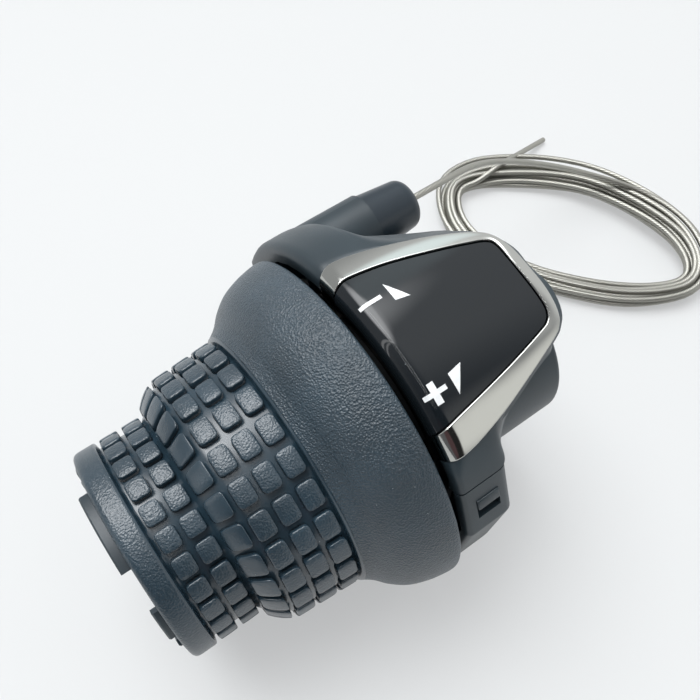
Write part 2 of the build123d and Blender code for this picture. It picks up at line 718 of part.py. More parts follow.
def make_grip_rubber():
    """Rubber sleeve: an end flange, rows and columns of tread blocks, and the smooth bulge."""
    slope = GROOVE_DRAFT
    half = ROW_GAP / 2
    surface = [(grip_end, flange_r, FLANGE_ROUND)]
    for row in range(ROWS + 1):
        middle = tread_start + row * ROW_PITCH
        before = flange_r if row == 0 else tread_radius(middle - half)
        after = tread_radius(middle + half)
        floor = tread_radius(middle) - BLOCK_HEIGHT
        surface.append((middle - half - slope, before, 0))
        surface.append((middle - half + slope, floor, 0))
        surface.append((middle + half - slope, floor, 0))
        if row < ROWS:
            surface.append((middle + half + slope, after, 0))
    surface.append((-BULGE_SHOULDER, bulge_shoulder_r, BULGE_ROUND))
    surface.append((rim_x - RIM_ROUND * 2, bulge_r, RIM_ROUND))
    surface.append((rim_x, bulge_r - RIM_ROUND / 2, 0))
    gap = RUBBER_CLEARANCE
    inside = [(x, r + gap, 0) for x, r, rounding in core_outline()]
    behind_flange = grip_end + CORE_FLANGE_LENGTH + gap
    rubber = turned(section([
        *surface,
        *reversed(inside),
        (behind_flange, neck_core_r + gap, 0),
        (behind_flange, core_flange_r + gap, 0),
        (grip_end, core_flange_r + gap, 0),
    ]))
    stations = (tread_start, shoulder_start - ROW_PITCH, shoulder_start, tread_end)
    floor_outline = [(x, tread_radius(x) - BLOCK_HEIGHT - COLUMN_EXTRA_DEPTH) for x in stations]
    above = shoulder_r + SHOULDER_FLARE + BLOCK_HEIGHT
    groove = plain(*floor_outline, (tread_end, above), (tread_start, above))
    grooves = []
    for column in range(COLUMNS):
        middle = COLUMN_START_ANGLE + (column + 1 / 2) * FULL_TURN / COLUMNS
        grooves.append(sector(groove, middle - COLUMN_GAP_ANGLE / 2, middle + COLUMN_GAP_ANGLE / 2))
    return rubber - grooves


nipple_span = math.degrees(NIPPLE_LENGTH / reel_pitch_r)
wrap_start = tangent_at + WRAP_START_ANGLE
wrap_end = wrap_start + WRAP_ANGLE
nipple_middle = wrap_end + nipple_span / 2


def nipple_solid(clearance):
    """The cable's cast end, lying along the groove."""
    radius = NIPPLE_DIAMETER / 2 + clearance
    solid = Rot(X=90) * Cylinder(radius, NIPPLE_LENGTH + 2 * clearance)
    return Rot(X=nipple_middle) * Pos(reel_middle, 0, reel_pitch_r) * solid


def make_cable_reel():
    """Grooved reel that winds the cable, keyed to the core by dogs."""
    half = GROOVE_WIDTH / 2
    reel = turned(plain(
        (REEL_FRONT, core_bore),
        (reel_back - REEL_RECESS_DEPTH, core_bore),
        (reel_back - REEL_RECESS_DEPTH, reel_recess_r),
        (reel_back, reel_recess_r),
        (reel_back, reel_flange_r),
        (reel_middle + half, reel_flange_r),
        (reel_middle + half, groove_floor),
        (reel_middle - half, groove_floor),
        (reel_middle - half, reel_flange_r),
        (REEL_FRONT, reel_flange_r),
    ))
    for index in range(DOG_COUNT):
        middle = index * FULL_TURN / DOG_COUNT
        dog = tube(REEL_FRONT - DOG_LENGTH + DOG_CLEARANCE, REEL_FRONT + DOG_LENGTH / 2,
                   core_bore + DOG_CLEARANCE, core_r - DOG_CLEARANCE)
        reel += sector(dog, middle - DOG_ANGLE / 2, middle + DOG_ANGLE / 2)
    return reel - nipple_solid(NIPPLE_CLEARANCE) - Rot(X=nipple_middle) * Pos(
        reel_middle, 0, reel_pitch_r + NIPPLE_DIAMETER / 2
    ) * Box(NIPPLE_DIAMETER + 2 * NIPPLE_CLEARANCE, NIPPLE_LENGTH + 2 * NIPPLE_CLEARANCE, NIPPLE_DIAMETER)


def make_cable_wrap():
    """The stretch of cable that lies in the reel's groove."""
    profile = Pos(reel_middle, reel_pitch_r) * Circle(cable_r)
    return sector(profile, wrap_start, wrap_end)


def make_cable_inner():
    """The stretch of cable from the reel through the guide to the barrel's end."""
    return pipe(guide_path(tangent_point, barrel_end), cable_r)


def make_cable_run():
    """The free cable from the barrel to the coil."""
    lead = (barrel_end + RUN_LEAD, outlet_y, OUTLET_RISE)
    path, radii = bent([(barrel_end, outlet_y, OUTLET_RISE), lead, *RUN_POINTS])
    print("run radii", [round(radius, 1) for radius in radii], "length", round(path.length, 1))
    run = pipe(path, cable_r)
    expected = math.pi * cable_r**2 * path.length
    print("run volume", round(run.volume, 2), "section times length", round(expected, 2))
    return run


def make_cable_tail():
    """The loose bare end that stands out of the coil."""
    path, radii = bent(TAIL_POINTS)
    print("tail radii", [round(radius, 1) for radius in radii], "length", round(path.length, 1))
    return pipe(path, cable_r)


def make_cable_coil():
    """The outer shape of the loose coil on the table."""
    ring = Ellipse(COIL_HALF_LENGTH, COIL_HALF_WIDTH)
    ring -= Ellipse(COIL_HALF_LENGTH - COIL_BAND, COIL_HALF_WIDTH - COIL_BAND)
    return Pos(COIL_X, COIL_Y, floor_z) * Rot(Z=COIL_TURN) * extrude(ring, COIL_HEIGHT)


pieces = {
    "base_body": make_base_body(),
    "top_cover": make_top_cover(),
    "bottom_cover": make_bottom_cover(),
    "display_panel": make_display_panel(),
    "chrome_trim": make_chrome_trim(),
    "cable_guide": make_cable_guide(),
    "cable_stop": make_cable_stop(),
    "clamp_bolt": make_clamp_bolt(),
    "clamp_washer": make_clamp_washer(),
    "clamp_nut": make_clamp_nut(),
    "cover_screws": Compound(children=make_cover_screws()),
    "friction_washer": make_friction_washer(),
    "friction_spring": make_friction_spring(),
    "thrust_washer": make_thrust_washer(),
    "retaining_ring": make_retaining_ring(),
    "grip_core": make_grip_core(),
    "grip_rubber": make_grip_rubber(),
    "cable_reel": make_cable_reel(),
    "cable_nipple": nipple_solid(0),
    "cable_wrap": make_cable_wrap(),
    "cable_inner": make_cable_inner(),
    "cable_run": make_cable_run(),
    "cable_coil": make_cable_coil(),
    "cable_tail": make_cable_tail(),
}
for name, piece in pieces.items():
    export_step(piece, f"parts/{name}.step")
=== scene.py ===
# %% [markdown]
# # A twist grip shifter
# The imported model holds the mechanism: sleeve, reel, covers and cable, each at its real size. This lesson
# dresses it. Places and sizes are in millimetres, as on a maker's drawing, and become metres in one step.

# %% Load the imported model
import math

import bpy
from mathutils import Matrix, Vector


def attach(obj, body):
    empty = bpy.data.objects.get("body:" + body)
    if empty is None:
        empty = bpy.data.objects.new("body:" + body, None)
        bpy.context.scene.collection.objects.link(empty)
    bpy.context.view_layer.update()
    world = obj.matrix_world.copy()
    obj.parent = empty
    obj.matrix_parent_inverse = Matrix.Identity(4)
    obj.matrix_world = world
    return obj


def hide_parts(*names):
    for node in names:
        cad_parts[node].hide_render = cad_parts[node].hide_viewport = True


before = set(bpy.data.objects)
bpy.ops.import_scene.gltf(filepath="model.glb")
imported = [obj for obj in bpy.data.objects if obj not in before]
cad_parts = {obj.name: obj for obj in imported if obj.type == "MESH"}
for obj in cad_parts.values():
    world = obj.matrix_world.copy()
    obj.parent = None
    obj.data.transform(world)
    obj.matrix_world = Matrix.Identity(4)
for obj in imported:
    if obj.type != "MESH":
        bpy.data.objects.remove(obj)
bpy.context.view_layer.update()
MM = 0.001
scene = bpy.context.scene
scene.view_settings.view_transform = "Standard"

# %% [markdown]
# ## The camera
# The picture looks down on the grip from about twelve centimetres, close enough for strong perspective. The
# three directions below are the camera's own axes, found from the grip's round edges, and the lens follows
# from how wide the picture is at that distance.

# %% Camera
CAMERA_PLACE = (-30.12, -42.09, 116.14)
CAMERA_RIGHT = (0.816, -0.578, 0.0)
CAMERA_UP = (0.507, 0.716, 0.479)
CAMERA_BACK = (-0.277, -0.391, 0.878)
FOCAL_PIXELS = 799.75
PICTURE_PIXELS = 700
SENSOR_MM = 36.0
NEAREST_MM = 5.0

camera = bpy.data.objects.new("camera", bpy.data.cameras.new("camera"))
scene.collection.objects.link(camera)
turn = Matrix((CAMERA_RIGHT, CAMERA_UP, CAMERA_BACK)).transposed().to_4x4()
camera.matrix_world = Matrix.Translation(Vector(CAMERA_PLACE) * MM) @ turn
camera.data.sensor_width = SENSOR_MM
camera.data.lens = FOCAL_PIXELS / PICTURE_PIXELS * SENSOR_MM
camera.data.clip_start = NEAREST_MM * MM
scene.camera = camera
print("lens", round(camera.data.lens, 2))

# %% [markdown]
# ## The inner cable
# A shift cable is a strand of bare stainless wire, 1.2 mm thick. It leaves the barrel, drops to the table and
# lies there in a loose coil of about eleven turns, with its cut end sticking out. One NURBS curve carries all
# of it. The coil's middle line is a loop of places on the table, each with how far the bundle is lifted there
# and how far its strands lie apart. Every turn goes round that loop with its own place in the bundle, so the
# strands lie side by side and on each other instead of through each other.

# %% Route of the cable
FLOOR_Z = -28.0
CABLE_DIAMETER = 1.2
CABLE_EXIT = (30.0, 25.0, 6.5)
RUN_POINTS = [(38.0, 25, 6.5), (47, 27.3, 2.6), (57, 28.6, -4), (68, 28, -11.5), (78, 26.2, -18.2)]
TAIL_POINTS = [(68.5, 39.2, -22.6), (76.5, 40.8, -25.6), (85.8, 41.8, -27.3)]
LOOP = [  # x, y, lift of the bundle, distance between strands
    (53.4, 37.3, 0.0, 1.20), (58.0, 42.6, 0.1, 1.35), (64.3, 42.0, 0.3, 1.75), (71.0, 38.2, 0.6, 1.80),
    (77.7, 32.3, 1.0, 1.60), (83.7, 25.0, 1.5, 1.40), (87.3, 15.5, 2.2, 1.50), (89.0, 7.0, 2.5, 1.55),
    (89.0, 0.5, 2.3, 1.45), (86.8, -5.2, 1.6, 1.25), (82.0, -7.9, 0.9, 1.15), (75.8, -5.6, 0.4, 1.25),
    (68.9, -1.0, 0.1, 1.40), (62.0, 6.3, 0.0, 1.30), (56.3, 14.5, 0.0, 1.20), (52.6, 23.5, 0.0, 1.20),
    (51.5, 31.0, 0.0, 1.25),
]
START_STATION, COIL_POINTS = 6, 184
STACK, MIDDLE_STACK = 3, 1.5
ROW_RISE, TABLE_GAP = 1.22, 0.05
WANDER = [(0.45, 1.7, 0), (0.3, 0.61, 1)]  # reach, pace and start of two slow waves
LOOSE_FROM, LOOSE_TO, LOOSE_REACH = 9, 22, 2.6


def strand_place(turns):
    """Sideways and upward place in the bundle after so many turns, down one stack and up the next."""
    stack, row = divmod(turns, STACK)
    climb = min(row, STACK - 1)
    slide = stack + max(0.0, row - (STACK - 1))
    height = STACK - 1 - climb if int(stack) % 2 == 0 else climb
    return MIDDLE_STACK - slide, height


def coil_point(index):
    """A control point of the coil: a place of the loop, moved to the strand's place in the bundle."""
    station = (START_STATION + index) % len(LOOP)
    x, y, lift, spread = LOOP[station]
    before, after = LOOP[station - 1], LOOP[(station + 1) % len(LOOP)]
    outward = Vector((before[1] - after[1], after[0] - before[0])).normalized()
    side, height = strand_place(index / len(LOOP))
    wander = sum(reach * math.sin(pace * index + start) for reach, pace, start in WANDER)
    across = side * spread + wander * (spread - 1.0)
    if LOOSE_FROM <= index <= LOOSE_TO:
        across += LOOSE_REACH * math.sin(math.pi * (index - LOOSE_FROM) / (LOOSE_TO - LOOSE_FROM)) ** 2
    rise = CABLE_DIAMETER / 2 + TABLE_GAP + height * ROW_RISE + lift
    return (x + outward.x * across, y + outward.y * across, FLOOR_Z + rise)


coil_points = [coil_point(index) for index in range(COIL_POINTS)]
route = [CABLE_EXIT, *RUN_POINTS, *coil_points, *TAIL_POINTS]
print("route points", len(route), "turns", round(COIL_POINTS / len(LOOP), 2))

# %% The cable as one curve
cable_curve = bpy.data.curves.new("inner_cable", "CURVE")
cable_curve.dimensions = "3D"
cable_curve.resolution_u = 4
cable_curve.bevel_depth = CABLE_DIAMETER / 2 * MM
cable_curve.bevel_resolution = 3
cable_curve.use_fill_caps = True
spline = cable_curve.splines.new("NURBS")
spline.points.add(len(route) - 1)
for point, place in zip(spline.points, route):
    point.co = (*(Vector(place) * MM), 1.0)
spline.order_u = 3
spline.use_endpoint_u = True
cable = bpy.data.objects.new("inner_cable", cable_curve)
scene.collection.objects.link(cable)
cable_length = spline.calc_length()
print("cable length", round(cable_length, 3), "m")

# %% [markdown]
# ## Helpers for meshes and materials
# Six small functions do the repeated work. One turns a colour written as sRGB hex into the linear values that
# shaders use, one adds a node with its settings and links, one makes an object from points in millimetres, one
# joins rows of points with faces, one finds a point round the bar, and one draws a smooth line through points.

# %% Helpers


def colour(code):
    """Linear colour from an sRGB hex code."""
    parts = [int(code[i:i + 2], 16) / 255 for i in (1, 3, 5)]
    return (*[p / 12.92 if p <= 0.04045 else ((p + 0.055) / 1.055) ** 2.4 for p in parts], 1.0)


def add_node(tree, kind, settings=None, **inputs):
    """Adds a node. Settings are its properties; inputs are values, or sockets to link from."""
    node = tree.nodes.new(kind)
    for name, value in (settings or {}).items():
        setattr(node, name, value)
    for name, value in inputs.items():
        key = int(name[1:]) if name[0] == "i" and name[1:].isdigit() else name.replace("_", " ")
        if isinstance(value, bpy.types.NodeSocket):
            tree.links.new(value, node.inputs[key])
        else:
            node.inputs[key].default_value = value
    return node


def new_piece(name, points, faces):
    """An object at the origin from points in millimetres."""
    mesh = bpy.data.meshes.new(name)
    mesh.from_pydata([Vector(p) * MM for p in points], [], faces)
    mesh.shade_smooth()
    piece = bpy.data.objects.new(name, mesh)
    scene.collection.objects.link(piece)
    return piece


def grid_faces(rows, columns, close_rows=False, close_columns=False):
    """Quads between rows of points that follow each other in one list."""
    faces = []
    for i in range(rows if close_rows else rows - 1):
        for j in range(columns if close_columns else columns - 1):
            below, beside = (i + 1) % rows, (j + 1) % columns
            faces.append((i * columns + j, i * columns + beside, below * columns + beside, below * columns + j))
    return faces


def around(x, angle, radius):
    """A point at so many degrees round the bar, from straight up towards the rider."""
    a = math.radians(angle)
    return (x, -radius * math.sin(a), radius * math.cos(a))


def eased(points, steps):
    """More points on a smooth line through the given ones."""
    spots = [Vector(p) for p in points]
    spots = [2 * spots[0] - spots[1], *spots, 2 * spots[-1] - spots[-2]]
    line = []
    for a, b, c, d in zip(spots, spots[1:], spots[2:], spots[3:]):
        for step in range(steps):
            t = step / steps
            line.append(b + 0.5 * t * (c - a + t * (2 * a - 5 * b + 4 * c - d + t * (3 * (b - c) + d - a))))
    return [*line, spots[-2]]


print("helpers ready")

# %% [markdown]
# ## Materials
# Each finish starts from what the real thing is made of. Grain and texture are bump from noise in object
# coordinates, and their scales come from real sizes in millimetres.

# %% Helpers for materials
TONE_FROM, TONE_TO = 0.3, 0.7
DUST_TINT, DUST_MM, BARE_SHARE = "#8e979b", 1.3, 0.72


def start_material(name):
    """A new material with its shader and its object coordinates."""
    material = bpy.data.materials.new(name)
    material.use_nodes = True
    tree = material.node_tree
    shader = tree.nodes["Principled BSDF"]
    coords = add_node(tree, "ShaderNodeTexCoord").outputs["Object"]
    return material, tree, shader, coords


def per_metre(size_mm):
    """Texture scale that gives cells of this size."""
    return 1 / (size_mm * MM)


def two_tones(tree, coords, cloud_mm, dark, light, full=TONE_TO):
    """A colour that changes slowly between two tones."""
    clouds = add_node(tree, "ShaderNodeTexNoise", Vector=coords, Scale=per_metre(cloud_mm), Detail=3.0)
    tone = add_node(tree, "ShaderNodeValToRGB", Fac=clouds.outputs["Fac"])
    for stop, position, code in zip(tone.color_ramp.elements, (TONE_FROM, full), (dark, light)):
        stop.position, stop.color = position, colour(code)
    return tone.outputs["Color"]


def dusted(tree, coords, base, reach):
    """A colour with a few specks of pale dust on it."""
    specks = add_node(tree, "ShaderNodeTexVoronoi", Vector=coords, Scale=per_metre(DUST_MM))
    draw = add_node(tree, "ShaderNodeSeparateColor", Color=specks.outputs["Color"]).outputs[0]
    near = add_node(tree, "ShaderNodeMath", {"operation": "LESS_THAN"}, i0=specks.outputs["Distance"], i1=reach)
    chosen = add_node(tree, "ShaderNodeMath", {"operation": "GREATER_THAN"}, i0=draw, i1=BARE_SHARE)
    both = add_node(tree, "ShaderNodeMath", {"operation": "MULTIPLY"}, i0=near.outputs[0], i1=chosen.outputs[0])
    mixed = add_node(tree, "ShaderNodeMix", {"data_type": "RGBA"}, Factor=both.outputs[0], i6=base,
                     i7=colour(DUST_TINT))
    return mixed.outputs[2]


print("material helpers ready")

# %% Leather-grained rubber
# Soft elastomer, moulded in a tool with an etched leather grain: blue-black, with a broad soft sheen.
# The grip's "grain" attribute is one on the bulge, less on flange and blocks and zero in the smooth grooves.
rubber, tree, shader, coords = start_material("moulded_elastomer")
GRAIN_MM, PORE_MM, CLOUD_MM = 0.29, 0.13, 9.0
GRAIN_DEPTH_MM, PORE_SHARE = 0.15, 0.4
cells = add_node(tree, "ShaderNodeTexVoronoi", {"feature": "SMOOTH_F1"}, Vector=coords,
                 Scale=per_metre(GRAIN_MM), Smoothness=0.5)
pores = add_node(tree, "ShaderNodeTexNoise", Vector=coords, Scale=per_metre(PORE_MM), Detail=2.0)
grain = add_node(tree, "ShaderNodeAttribute", {"attribute_name": "grain"})
relief = add_node(tree, "ShaderNodeMath", {"operation": "MULTIPLY_ADD"}, i0=pores.outputs["Fac"], i1=PORE_SHARE,
                  i2=cells.outputs["Distance"])
depth = add_node(tree, "ShaderNodeMath", {"operation": "MULTIPLY"}, i0=relief.outputs[0],
                 i1=grain.outputs["Fac"])
bump = add_node(tree, "ShaderNodeBump", Height=depth.outputs[0], Distance=GRAIN_DEPTH_MM * MM, Strength=1.0)
tint = two_tones(tree, coords, CLOUD_MM, "#22323c", "#2c3f4b", full=0.75)
tree.links.new(dusted(tree, coords, tint, reach=0.055), shader.inputs["Base Color"])
gloss = add_node(tree, "ShaderNodeMapRange", Value=grain.outputs["Fac"], To_Min=0.25, To_Max=0.37)
tree.links.new(gloss.outputs["Result"], shader.inputs["Roughness"])
tree.links.new(bump.outputs["Normal"], shader.inputs["Normal"])
shader.inputs["IOR"].default_value = 1.66
print("made", rubber.name)

# %% [markdown]
# ## The rubber sleeve
# Under the blocks the grip is a turned shape: an end flange, a straight neck, a ramp, a wider shoulder and the
# smooth bulge by the housing. A lathe does it: the section is drawn once and spun round the bar.

# %% Rubber sleeve
SPIN_STEPS, BULGE_STEPS = 208, 5
GRIP_END, TREAD_START, RAMP_START, RAMP_END, TREAD_END, RIM_X = -38.72, -34.82, -28.1, -23.3, -13.4, -0.5
NECK_RADIUS, SHOULDER_RADIUS, SHOULDER_FLARE, BLOCK_HEIGHT = 16.9, 20.6, 0.7, 1.1
bulge = eased([(-13.05, 21.62), (-12.4, 22.0), (-11.2, 22.95), (-9.7, 24.6), (-7.6, 26.2), (-5.0, 27.25),
               (-2.6, 27.8), (-1.3, 27.95), (-0.75, 27.8), (RIM_X, 27.35)], BULGE_STEPS)
neck_floor = NECK_RADIUS - BLOCK_HEIGHT
shoulder_floor = SHOULDER_RADIUS - BLOCK_HEIGHT
RAMP_STEPS, RAMP_BOW = 10, 1.6
ramp_shares = [k / RAMP_STEPS for k in range(RAMP_STEPS + 1)]
ramp_line = [(RAMP_START + (RAMP_END - RAMP_START) * t,
              neck_floor + (shoulder_floor - neck_floor) * (1 - (1 - t) ** RAMP_BOW)) for t in ramp_shares]
outside = [
    (GRIP_END, 15.83), (GRIP_END, 16.2), (GRIP_END + 0.08, 16.5), (GRIP_END + 0.3, 16.78),
    (GRIP_END + 0.65, 16.95), (GRIP_END + 1.1, 17.0), (-35.55, 17.0), (-35.3, 16.97),
    (-35.16, 16.85), (-35.08, 16.5), (-35.0, 16.1), (-34.85, neck_floor + 0.03), (-34.6, neck_floor),
    *ramp_line, (-13.9, shoulder_floor + SHOULDER_FLARE), (-13.6, 20.38), (-13.42, 20.6), (-13.32, 21.0),
    (-13.25, 21.4), *[tuple(p) for p in bulge],
]
inside = [
    (RIM_X, 26.0), (-1.6, 25.6), (-7.6, 24.25), (TREAD_END, 18.85), (RAMP_END, 18.15), (RAMP_START, 14.45),
    (-36.85, 14.45), (-36.85, 15.83),
]
section = outside + inside
points = [around(p[0], 360 * j / SPIN_STEPS, p[1]) for p in section for j in range(SPIN_STEPS)]
sleeve = new_piece("rubber_sleeve", points, grid_faces(len(section), SPIN_STEPS, True, True))
print("sleeve faces", len(sleeve.data.polygons))

# %% Grain on the sleeve
FLANGE_END, FLANGE_GRAIN = -35.4, 0.42
BULGE_START, BULGE_GRAIN = -12.9, 1.0
grain_values = []
for p in section:
    on_flange, on_bulge = p in outside and p[0] < FLANGE_END, p in outside and p[0] > BULGE_START
    grain_values += [FLANGE_GRAIN if on_flange else BULGE_GRAIN if on_bulge else 0.0] * SPIN_STEPS
layer = sleeve.data.attributes.new("grain", "FLOAT", "POINT")
layer.data.foreach_set("value", grain_values)
sleeve.data.materials.append(rubber)
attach(sleeve, "grip")
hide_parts("grip_rubber")
print("grained points", sum(v > 0 for v in grain_values))

# %% [markdown]
# ## The tread blocks
# Six rows of 26 soft square blocks stand on the sleeve. All are copies of one block, so Geometry Nodes place
# them: a flat grid of points gets the block at each point, and the whole flat sheet is then wrapped round the
# bar. Wrapping after the copying bends every block to the radius that it sits on.

# %% One flat block
ROWS, COLUMNS, ROW_PITCH = 6, 26, 3.57
FLAT_RADIUS = 19.0
BLOCK_LENGTH, BLOCK_ANGLE, BLOCK_CORNER, LEAST_CORNER = 2.72, 10.5, 0.55, 0.15
CORNER_STEPS, SIDE_STEPS = 3, 3
RINGS = [(0.1, -1.3), (0.03, -0.18), (-0.03, -0.05), (-0.15, 0.0), (-0.9, 0.03)]  # growth, height
half_x = BLOCK_LENGTH / 2
half_y = math.radians(BLOCK_ANGLE) * FLAT_RADIUS / 2


def block_ring(grow, height):
    """One ring round the block: a rectangle with round corners, its sides divided so that it can bend."""
    ring = []
    corner = max(LEAST_CORNER, BLOCK_CORNER + grow)
    for quarter, (sx, sy) in enumerate(((1, 1), (-1, 1), (-1, -1), (1, -1))):
        cx, cy = sx * (half_x + grow - corner), sy * (half_y + grow - corner)
        for step in range(CORNER_STEPS):
            a = math.radians(90 * (quarter + step / (CORNER_STEPS - 1)))
            ring.append(Vector((cx + corner * math.cos(a), cy + corner * math.sin(a), height)))
    divided = []
    for k, point in enumerate(ring):
        divided.append(tuple(point))
        if k % CORNER_STEPS == CORNER_STEPS - 1:
            following = ring[(k + 1) % len(ring)]
            divided += [tuple(point.lerp(following, step / SIDE_STEPS)) for step in range(1, SIDE_STEPS)]
    return divided


block_points = [p for grow, height in RINGS for p in block_ring(grow, height)]
around_count = 4 * (CORNER_STEPS + SIDE_STEPS - 1)
block_faces = grid_faces(len(RINGS), around_count, False, True)
last = (len(RINGS) - 1) * around_count
block_faces.append(tuple(range(last, last + around_count)))
block_faces.append(tuple(reversed(range(around_count))))
tread = new_piece("tread_blocks", block_points, block_faces)
print("block faces", len(block_faces))

# %% Node tree for the tread, with its sizes as inputs
FIRST_COLUMN = 8.4
INPUTS = {
    "Rows": ROWS, "Columns": COLUMNS, "Row Pitch": ROW_PITCH * MM,
    "First Row": (TREAD_START + ROW_PITCH / 2) * MM,
    "First Column": math.radians(FIRST_COLUMN + 180 / COLUMNS), "Flat Radius": FLAT_RADIUS * MM,
    "Neck Radius": NECK_RADIUS * MM, "Shoulder Radius": SHOULDER_RADIUS * MM,
    "Shoulder Flare": SHOULDER_FLARE * MM, "Ramp Start": RAMP_START * MM, "Ramp End": RAMP_END * MM,
    "Ramp Bow": RAMP_BOW, "Tread End": TREAD_END * MM, "Rubber": rubber,
}
wrap = bpy.data.node_groups.new("wrap_tread_round_bar", "GeometryNodeTree")
for side in ("INPUT", "OUTPUT"):
    wrap.interface.new_socket("Geometry", in_out=side, socket_type="NodeSocketGeometry")
sockets = {}
for name, value in INPUTS.items():
    kind = {int: "NodeSocketInt", float: "NodeSocketFloat"}.get(type(value), "NodeSocketMaterial")
    sockets[name] = wrap.interface.new_socket(name, in_out="INPUT", socket_type=kind).identifier
given = add_node(wrap, "NodeGroupInput").outputs
position = add_node(wrap, "GeometryNodeInputPosition").outputs[0]
flat = add_node(wrap, "ShaderNodeSeparateXYZ", Vector=position).outputs
print("inputs", len(sockets))

# %% Sums of the tree
# The wrapped place and the grain of each point, one node to a line. The blocks' tops are grained, less so on
# the ramp, and their sides are smooth.
BLOCK_GRAIN, RAMP_GRAIN, RAMP_GRAIN_STOP = 0.42, 0.12, 0.7
TOP_FROM, TOP_TO = -0.2, -0.01
SUMS = [  # result, operation, terms: numbers, or names of inputs and of earlier results
    ("turn", "DIVIDE", math.tau, "Columns"),
    ("column pitch", "MULTIPLY", "turn", "Flat Radius"),
    ("row gaps", "SUBTRACT", "Rows", 1.0),
    ("size x", "MULTIPLY", "row gaps", "Row Pitch"),
    ("column gaps", "SUBTRACT", "Columns", 1.0),
    ("size y", "MULTIPLY", "column gaps", "column pitch"),
    ("half x", "MULTIPLY", "size x", 0.5),
    ("past first row", "ADD", "X", "half x"),
    ("along", "ADD", "past first row", "First Row"),
    ("past first column", "DIVIDE", "Y", "Flat Radius"),
    ("angle", "ADD", "past first column", "First Column"),
    ("ramp left", "MAP", "along", "Ramp Start", "Ramp End", 1.0, 0.0),
    ("climb left", "POWER", "ramp left", "Ramp Bow"),
    ("climbed", "SUBTRACT", 1.0, "climb left"),
    ("climb", "SUBTRACT", "Shoulder Radius", "Neck Radius"),
    ("ramp", "MULTIPLY_ADD", "climb", "climbed", "Neck Radius"),
    ("flare", "MAP", "along", "Ramp End", "Tread End", 0.0, "Shoulder Flare"),
    ("top", "ADD", "ramp", "flare"),
    ("radius", "ADD", "top", "Z"),
    ("sine", "SINE", "angle"),
    ("cosine", "COSINE", "angle"),
    ("towards rider", "MULTIPLY", "radius", "sine"),
    ("forward", "MULTIPLY", "towards rider", -1.0),
    ("up", "MULTIPLY", "radius", "cosine"),
    ("on top", "MAP", "Z", TOP_FROM * MM, TOP_TO * MM, 0.0, 1.0),
    ("past start", "GREATER_THAN", "along", "Ramp Start"),
    ("stop", "SUBTRACT", "Ramp End", RAMP_GRAIN_STOP * MM),
    ("before stop", "LESS_THAN", "along", "stop"),
    ("on ramp", "MULTIPLY", "past start", "before stop"),
    ("full grain", "MULTIPLY_ADD", "on ramp", RAMP_GRAIN - BLOCK_GRAIN, BLOCK_GRAIN),
    ("grain", "MULTIPLY", "on top", "full grain"),
]
known = {**{name: given[name] for name in INPUTS}, **{axis: flat[axis] for axis in "XYZ"}}
for result, operation, *terms in SUMS:
    kind, settings = "ShaderNodeMath", {"operation": operation}
    if operation == "MAP":
        kind, settings = "ShaderNodeMapRange", None
    sources = {f"i{k}": known.get(term, term) for k, term in enumerate(terms)}
    known[result] = add_node(wrap, kind, settings, **sources).outputs[0]
print("sums", len(SUMS))

# %% Blocks laid flat, marked and wrapped
spots = add_node(wrap, "GeometryNodeMeshGrid", Size_X=known["size x"], Size_Y=known["size y"],
                 Vertices_X=given["Rows"], Vertices_Y=given["Columns"])
copies = add_node(wrap, "GeometryNodeInstanceOnPoints", Points=spots.outputs["Mesh"],
                  Instance=given["Geometry"])
real = add_node(wrap, "GeometryNodeRealizeInstances", Geometry=copies.outputs["Instances"])
marked = add_node(wrap, "GeometryNodeStoreNamedAttribute", {"data_type": "FLOAT", "domain": "POINT"},
                  Geometry=real.outputs["Geometry"], Name="grain", Value=known["grain"])
place = add_node(wrap, "ShaderNodeCombineXYZ", X=known["along"], Y=known["forward"], Z=known["up"])
bent = add_node(wrap, "GeometryNodeSetPosition", Geometry=marked.outputs["Geometry"],
                Position=place.outputs["Vector"])
dressed = add_node(wrap, "GeometryNodeSetMaterial", Geometry=bent.outputs["Geometry"], Material=given["Rubber"])
add_node(wrap, "NodeGroupOutput", Geometry=dressed.outputs["Geometry"])
print("tree nodes", len(wrap.nodes))

# %% Blocks as a plain mesh
modifier = tread.modifiers.new("wrap", "NODES")
modifier.node_group = wrap
for name, value in INPUTS.items():
    modifier[sockets[name]] = value
evaluated = tread.evaluated_get(bpy.context.evaluated_depsgraph_get())
tread_mesh = bpy.data.meshes.new_from_object(evaluated)
tread.modifiers.remove(modifier)
tread.data = tread_mesh
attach(tread, "grip")
print("tread faces", len(tread_mesh.polygons), "grain layer", "grain" in tread_mesh.attributes)

# %% [markdown]
# ## Table and light
# The object lies on a white table in a bright room. Nearly all the light comes evenly from the room itself, so
# the world does the lighting: it is pale all round, brighter towards a window behind the object and dimmer in
# front of it. Four thin lamps only draw bright lines along the panel's lip.

# %% Table
# White laminate: matt and even. The camera and reflections see it a little paler than the room alone makes it.
FLOOR_SIZE, TABLE_GLOW = 3000.0, 0.45
CORNERS = ((-1, -1), (1, -1), (1, 1), (-1, 1))
floor = new_piece("table", [(sx * FLOOR_SIZE, sy * FLOOR_SIZE, FLOOR_Z) for sx, sy in CORNERS], [(0, 1, 2, 3)])
white, tree, shader, _ = start_material("white_laminate")
shader.inputs["Base Color"].default_value = colour("#cbcdcd")
shader.inputs["Roughness"].default_value = 0.6
glow = add_node(tree, "ShaderNodeEmission", Color=colour("#f3f4f5"), Strength=1.0)
rays = add_node(tree, "ShaderNodeLightPath").outputs
mirrored = add_node(tree, "ShaderNodeMath", {"operation": "MAXIMUM"}, i0=rays["Is Glossy Ray"],
                    i1=rays["Is Transmission Ray"])
seen = add_node(tree, "ShaderNodeMath", {"operation": "MAXIMUM"}, i0=rays["Is Camera Ray"],
                i1=mirrored.outputs[0])
